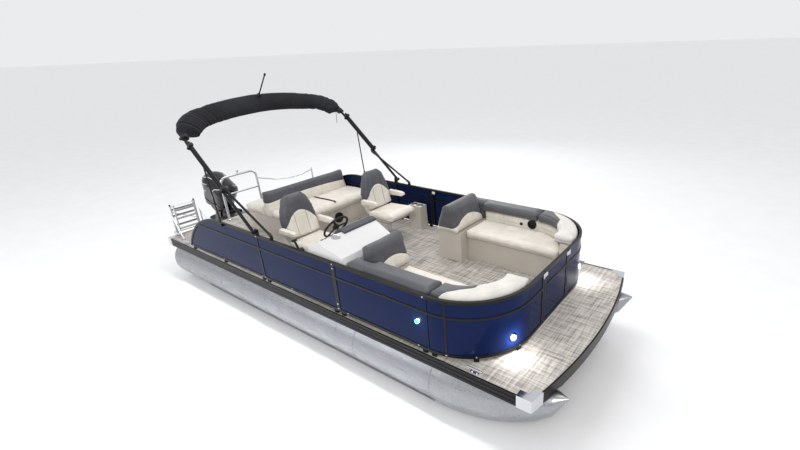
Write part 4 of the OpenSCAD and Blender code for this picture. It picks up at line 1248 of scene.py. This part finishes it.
class BOAT_OT_helm_trim(bpy.types.Operator):
    """Fit dials, switches, cup rings and speakers"""
    bl_idname = "boat.helm_trim"
    bl_label = "Helm fittings"

    def execute(self, context):
        n = Vector((-0.757, 0, 0.653))
        dials, rims = bmesh.new(), bmesh.new()
        for y in (-0.53, -0.91):
            p = at(0.4185, y, 0.6852)
            turned(dials, place(p, n), [(0.0, 0.003), (0.036, 0.003), (0.040, 0.0)], steps=36)
            turned(rims, place(p, n), [(0.040, 0.0), (0.041, 0.006), (0.046, 0.007), (0.049, 0.0)], steps=36)
        from_bm("helm_dials", dials, "dial", "boat", slot="lens")
        cup = [(0.0425, 0.0), (0.043, 0.003), (0.050, 0.004), (0.054, 0.001), (0.054, -0.002)]
        slope = Vector((95, 0, 385)).normalized()
        turned(rims, place(at(0.640, -1.010, 0.7905), slope), cup, steps=48)
        for x in (-0.083, 0.033):
            turned(rims, place(at(x, 1.140, 0.3855)), [(r * 0.945, h) for r, h in cup], steps=48)
            turned(
                rims, place(at(x, 1.140, 0.302)), [(0.0, 0.0), (0.034, 0.0), (0.038, 0.004), (0.0385, 0.08)],
                steps=48,
            )
        turned(
            rims, place(at(0.285, -0.715, 0.735) + Vector((-0.819, 0, 0.574)) * 0.014, (-0.819, 0, 0.574)),
            [(0.0, 0.010), (0.016, 0.009), (0.026, 0.004), (0.028, 0.0)], steps=32,
        )
        from_bm("polished_rings", rims, "chrome", "boat", slot="chrome")
        bm = bmesh.new()
        for y in (-1.13, -1.085):
            block(bm, (0.545 + SHIFT, y - 0.014, DECK + 0.768), (0.585 + SHIFT, y + 0.014, DECK + 0.789), 0.004)
        for k in range(5):
            y = -1.10 + 0.034 * k
            block(
                bm, (-0.012, y - 0.011, 0.0), (0.012, y + 0.011, 0.008), 0.003,
                matrix=Matrix.Translation(at(0.395, 0, 0.656)) @ Matrix.Rotation(-math.radians(49.2), 4, "Y"),
            )
        block(
            bm, (-0.05, -0.86, 0.0), (0.05, -0.60, 0.008), 0.004,
            matrix=Matrix.Translation(at(0.44, 0.10, 0.7095)) @ Matrix.Rotation(-math.radians(49.2), 4, "Y"),
        )
        from_bm("helm_switches", bm, "plastic", "boat", slot="black_plastic")
        # Speaker rings, domes and slots
        bm = bmesh.new()
        spots = [
            (at(2.040, 1.0347, 0.504), (0, -1, 0), 0.062), (at(2.040, -1.0347, 0.504), (0, 1, 0), 0.062),
            (at(-1.1678, 0.480, 0.165), (1, 0, 0), 0.085),
        ]
        for p, d, r in spots:
            for k in (1.0, 0.78, 0.6, 0.42):
                turned(
                    bm, place(p, d),
                    [
                        (r * k, -0.001), (r * k, 0.005), (r * (k - 0.05), 0.007), (r * (k - 0.09), 0.003),
                        (r * (k - 0.09), -0.001),
                    ],
                    steps=40,
                )
            turned(
                bm, place(p, d), [(0.0, 0.010), (r * 0.12, 0.009), (r * 0.22, 0.003), (r * 0.22, -0.001)], steps=30,
            )
        from_bm("speaker_grilles", bm, "plastic", "boat", slot="black_plastic")
        # Throttle base and knob collar
        bm = bmesh.new()
        block(bm, (0.125 + SHIFT, -1.232, DECK + 0.5605), (0.285 + SHIFT, -1.157, DECK + 0.5685), 0.003)
        turned(
            bm, place(at(0.205, -1.1625, 0.594), (0, 1, 0)), [(0.0, 0.004), (0.018, 0.003), (0.024, -0.001)],
            steps=28,
        )
        from_bm("throttle_trim", bm, "chrome", "boat", slot="chrome")
        return {"FINISHED"}


class BOAT_OT_motor_trim(bpy.types.Operator):
    """Add the cowl's bands and latches"""
    bl_idname = "boat.motor_trim"
    bl_label = "Motor trim"

    def execute(self, context):
        cowl = NODES["cowl"]
        bands = []
        for sign in (-1, 1):
            for shape in (
                [(-0.705, 0.02), (-0.722, 0.18), (-0.70, 0.34), (-0.63, 0.46), (-0.50, 0.525), (-0.36, 0.535)],
                [(-0.60, 0.03), (-0.63, 0.17), (-0.60, 0.31), (-0.52, 0.40), (-0.40, 0.44)],
                [(-0.17, 0.06), (-0.24, 0.20), (-0.26, 0.34), (-0.20, 0.46), (-0.10, 0.50)],
                [(-0.50, 0.02), (-0.53, 0.14), (-0.49, 0.25), (-0.41, 0.31)],
            ):
                dense = []
                for (xa, za), (xb, zb) in zip(shape, shape[1:]):
                    dense += [(xa + (xb - xa) * k / 6, za + (zb - za) * k / 6) for k in range(6)]
                dense.append(shape[-1])
                hits = snapped(cowl, [on_motor(x, sign * 0.6, z) for x, z in dense], (0, -sign, 0), 0.001)
                if len(hits) > 4:
                    bands.append(hits)
        runs("cowl_bands", bands, 0.010, "silver", "motor_head", slot="chrome")
        loop = []
        for k in range(72):
            t = 2 * math.pi * k / 72
            c = on_motor(-0.345, 0, 0.07)
            d = turn_motor((math.cos(t), math.sin(t), 0))
            loop += snapped(cowl, [c + d * 1.2], -d, 0.001)
        runs("cowl_joint", [loop], 0.006, "rubber", "motor_head", closed=True, slot="black_plastic")
        bm = bmesh.new()
        for sign in (-1, 1):
            hits = snapped(cowl, [on_motor(-0.42, sign * 0.6, 0.07)], (0, -sign, 0), 0.0)
            block(
                bm, (-0.03, -0.006, -0.014), (0.03, 0.006, 0.014), 0.004,
                matrix=Matrix.Translation(hits[0]) @ Matrix.Rotation(TILT, 4, "Y"),
            )
        back = snapped(cowl, [on_motor(-1.2, y, 0.36) for y in (-0.06, 0.06)], turn_motor((1, 0, 0)), 0.0)
        for p in back:
            block(
                bm, (-0.006, -0.035, -0.05), (0.006, 0.035, 0.05), 0.005,
                matrix=Matrix.Translation(p) @ Matrix.Rotation(TILT, 4, "Y"),
            )
        from_bm("cowl_latches", bm, "plastic", "motor_head", slot="black_plastic")
        bm = bmesh.new()
        turned(
            bm, place(on_motor(-0.648, 0, -0.665), turn_motor((-1, 0, 0))),
            [(0.0, 0.022), (0.009, 0.021), (0.015, 0.008), (0.017, -0.004)], steps=24,
        )
        from_bm("propeller_nut", bm, "chrome", "propeller", slot="chrome")
        return {"FINISHED"}


class BOAT_OT_ladder_trim(bpy.types.Operator):
    """Fit tread pads, rail caps and the brace of the boarding ladder"""
    bl_idname = "boat.ladder_trim"
    bl_label = "Ladder fittings"

    def execute(self, context):
        x, y = -3.318, -0.938
        bm = bmesh.new()
        for z in (0.130, 0.290, 0.396):
            for k in range(4):
                block(
                    bm, (x - 0.025 + 0.0082 * k + SHIFT, y - 0.165, DECK + z + 0.0195),
                    (x - 0.020 + 0.0082 * k + SHIFT, y + 0.165, DECK + z + 0.0235), 0.001, 1,
                )
        for sign in (-1, 1):
            turned(
                bm, place(at(x, y + sign * 0.185, 0.494)),
                [(0.0, 0.010), (0.008, 0.009), (0.0125, 0.002), (0.0125, -0.02)], steps=20,
            )
        from_bm("ladder_grips", bm, "rubber", "boarding_ladder", slot="black_plastic")
        bm = bmesh.new()
        for z in (0.080, 0.250, 0.388):
            for k in range(4):
                block(
                    bm, (x + 0.028 + 0.0082 * k + SHIFT, y - 0.135, DECK + z - 0.0035),
                    (x + 0.033 + 0.0082 * k + SHIFT, y + 0.135, DECK + z + 0.0005), 0.001, 1,
                )
        from_bm("step_grips", bm, "rubber", "ladder_step", slot="black_plastic")
        runs(
            "ladder_brace",
            [[at(x - 0.016, y - 0.176, 0.372), at(x - 0.020, y, 0.27), at(x - 0.016, y + 0.176, 0.172)]], 0.006,
            "chrome", "boarding_ladder", slot="chrome",
        )
        bm = bmesh.new()
        for sign in (-1, 1):
            turned(
                bm, place(at(-3.150, sign * 0.330, 0.0085)),
                [(0.021, 0.0), (0.030, 0.002), (0.034, 0.008), (0.022, 0.016), (0.0195, 0.02)], steps=28,
            )
            for k in range(4):
                t = math.radians(45 + 90 * k)
                turned(
                    bm, place(at(-3.150 + 0.036 * math.cos(t), sign * 0.330 + 0.036 * math.sin(t), 0.0082)),
                    [(0.0, 0.004), (0.005, 0.003), (0.006, 0.0)], steps=12,
                )
        from_bm("tow_bar_feet", bm, "chrome", "boat", slot="chrome")
        return {"FINISHED"}


class BOAT_OT_stage(bpy.types.Operator):
    """Floor, studio light and camera"""
    bl_idname = "boat.stage"
    bl_label = "Studio"

    def execute(self, context):
        scene = context.scene
        bm = bmesh.new()
        bmesh.ops.create_grid(bm, x_segments=1, y_segments=1, size=400)
        mesh = bpy.data.meshes.new("studio_floor")
        bm.to_mesh(mesh)
        bm.free()
        floor = bpy.data.objects.new("studio_floor", mesh)
        scene.collection.objects.link(floor)
        f = Finish("StudioFloor", roughness=0.75)
        wear = f.use("SurfaceWear", Smooth=0.7, Rough=0.8, Scale=2.0)
        f.base(f.ramp(wear.outputs["Tint"], (0.90, 0.90, 0.90, 1), (0.93, 0.93, 0.93, 1)))
        mesh.materials.append(f.mat)
        world = bpy.data.worlds.new("studio")
        scene.world = world
        world.use_nodes = True
        back = world.node_tree.nodes["Background"]
        back.inputs["Color"].default_value = (0.90, 0.91, 0.93, 1)
        back.inputs["Strength"].default_value = 0.92
        scene.view_settings.view_transform = "Standard"
        for name, where_at, aim, energy, spread, tone in (
            ("key", (6.5, -7.5, 7.5), (0.5, 0, 0.8), 340, 3.0, (1, 0.99, 0.97)),
            ("fill", (-5.0, -9.0, 4.5), (-0.5, 0, 0.8), 90, 5.0, (0.95, 0.97, 1)),
            ("top", (0.0, 1.0, 8.5), (0, 0, 0.5), 200, 5.0, (1, 1, 1)),
            ("rim", (-3.5, 8.5, 5.5), (0, 0, 1.2), 130, 4.0, (1, 1, 1)),
        ):
            data = bpy.data.lights.new(name, "AREA")
            data.energy, data.size, data.color = energy, spread, tone
            lamp = bpy.data.objects.new(name, data)
            lamp.location = where_at
            lamp.rotation_euler = (Vector(aim) - Vector(where_at)).to_track_quat("-Z", "Y").to_euler()
            scene.collection.objects.link(lamp)
        data = bpy.data.cameras.new("view")
        data.sensor_width = 36
        data.lens = 19.62
        data.shift_x = -0.0749
        data.shift_y = 0.0080
        camera = bpy.data.objects.new("view", data)
        right = Vector((0.8183, 0.5738, -0.0345))
        up = Vector((-0.2001, 0.3406, 0.9186))
        ahead = Vector((-0.5389, 0.7448, -0.3935))
        turn = Matrix((right, up, -ahead)).transposed().to_4x4()
        camera.matrix_world = Matrix.Translation((4.373 + SHIFT, -3.808, 2.711 + DECK)) @ turn
        scene.collection.objects.link(camera)
        scene.camera = camera
        return {"FINISHED"}


STEPS = (
    BOAT_OT_coats, BOAT_OT_stage, BOAT_OT_chairs, BOAT_OT_bow_lounges, BOAT_OT_stern_lounge, BOAT_OT_boot,
    BOAT_OT_top_trim, BOAT_OT_fence_trim, BOAT_OT_hull_trim, BOAT_OT_helm_trim, BOAT_OT_motor_trim,
    BOAT_OT_ladder_trim,
)


class BOAT_PT_panel(bpy.types.Panel):
    """Build steps and settings of the boat"""
    bl_label = "Pontoon boat"
    bl_idname = "BOAT_PT_panel"
    bl_space_type = "VIEW_3D"
    bl_region_type = "UI"
    bl_category = "Boat"

    def draw(self, context):
        for step in STEPS:
            self.layout.operator(step.bl_idname)
        for group in (context.scene.boat_colours, context.scene.boat_sizes):
            box = self.layout.box()
            for name in group.__annotations__:
                box.prop(group, name)


CLASSES = (BOAT_PG_colours, BOAT_PG_sizes) + STEPS + (BOAT_PT_panel,)


def register():
    for c in CLASSES:
        bpy.utils.register_class(c)
    bpy.types.Scene.boat_colours = PointerProperty(type=BOAT_PG_colours)
    bpy.types.Scene.boat_sizes = PointerProperty(type=BOAT_PG_sizes)


def unregister():
    del bpy.types.Scene.boat_colours
    del bpy.types.Scene.boat_sizes
    for c in reversed(CLASSES):
        bpy.utils.unregister_class(c)


def main():
    register()
    for step in STEPS:
        getattr(bpy.ops.boat, step.bl_idname.split(".")[1])()


if __name__ == "__main__":
    main()
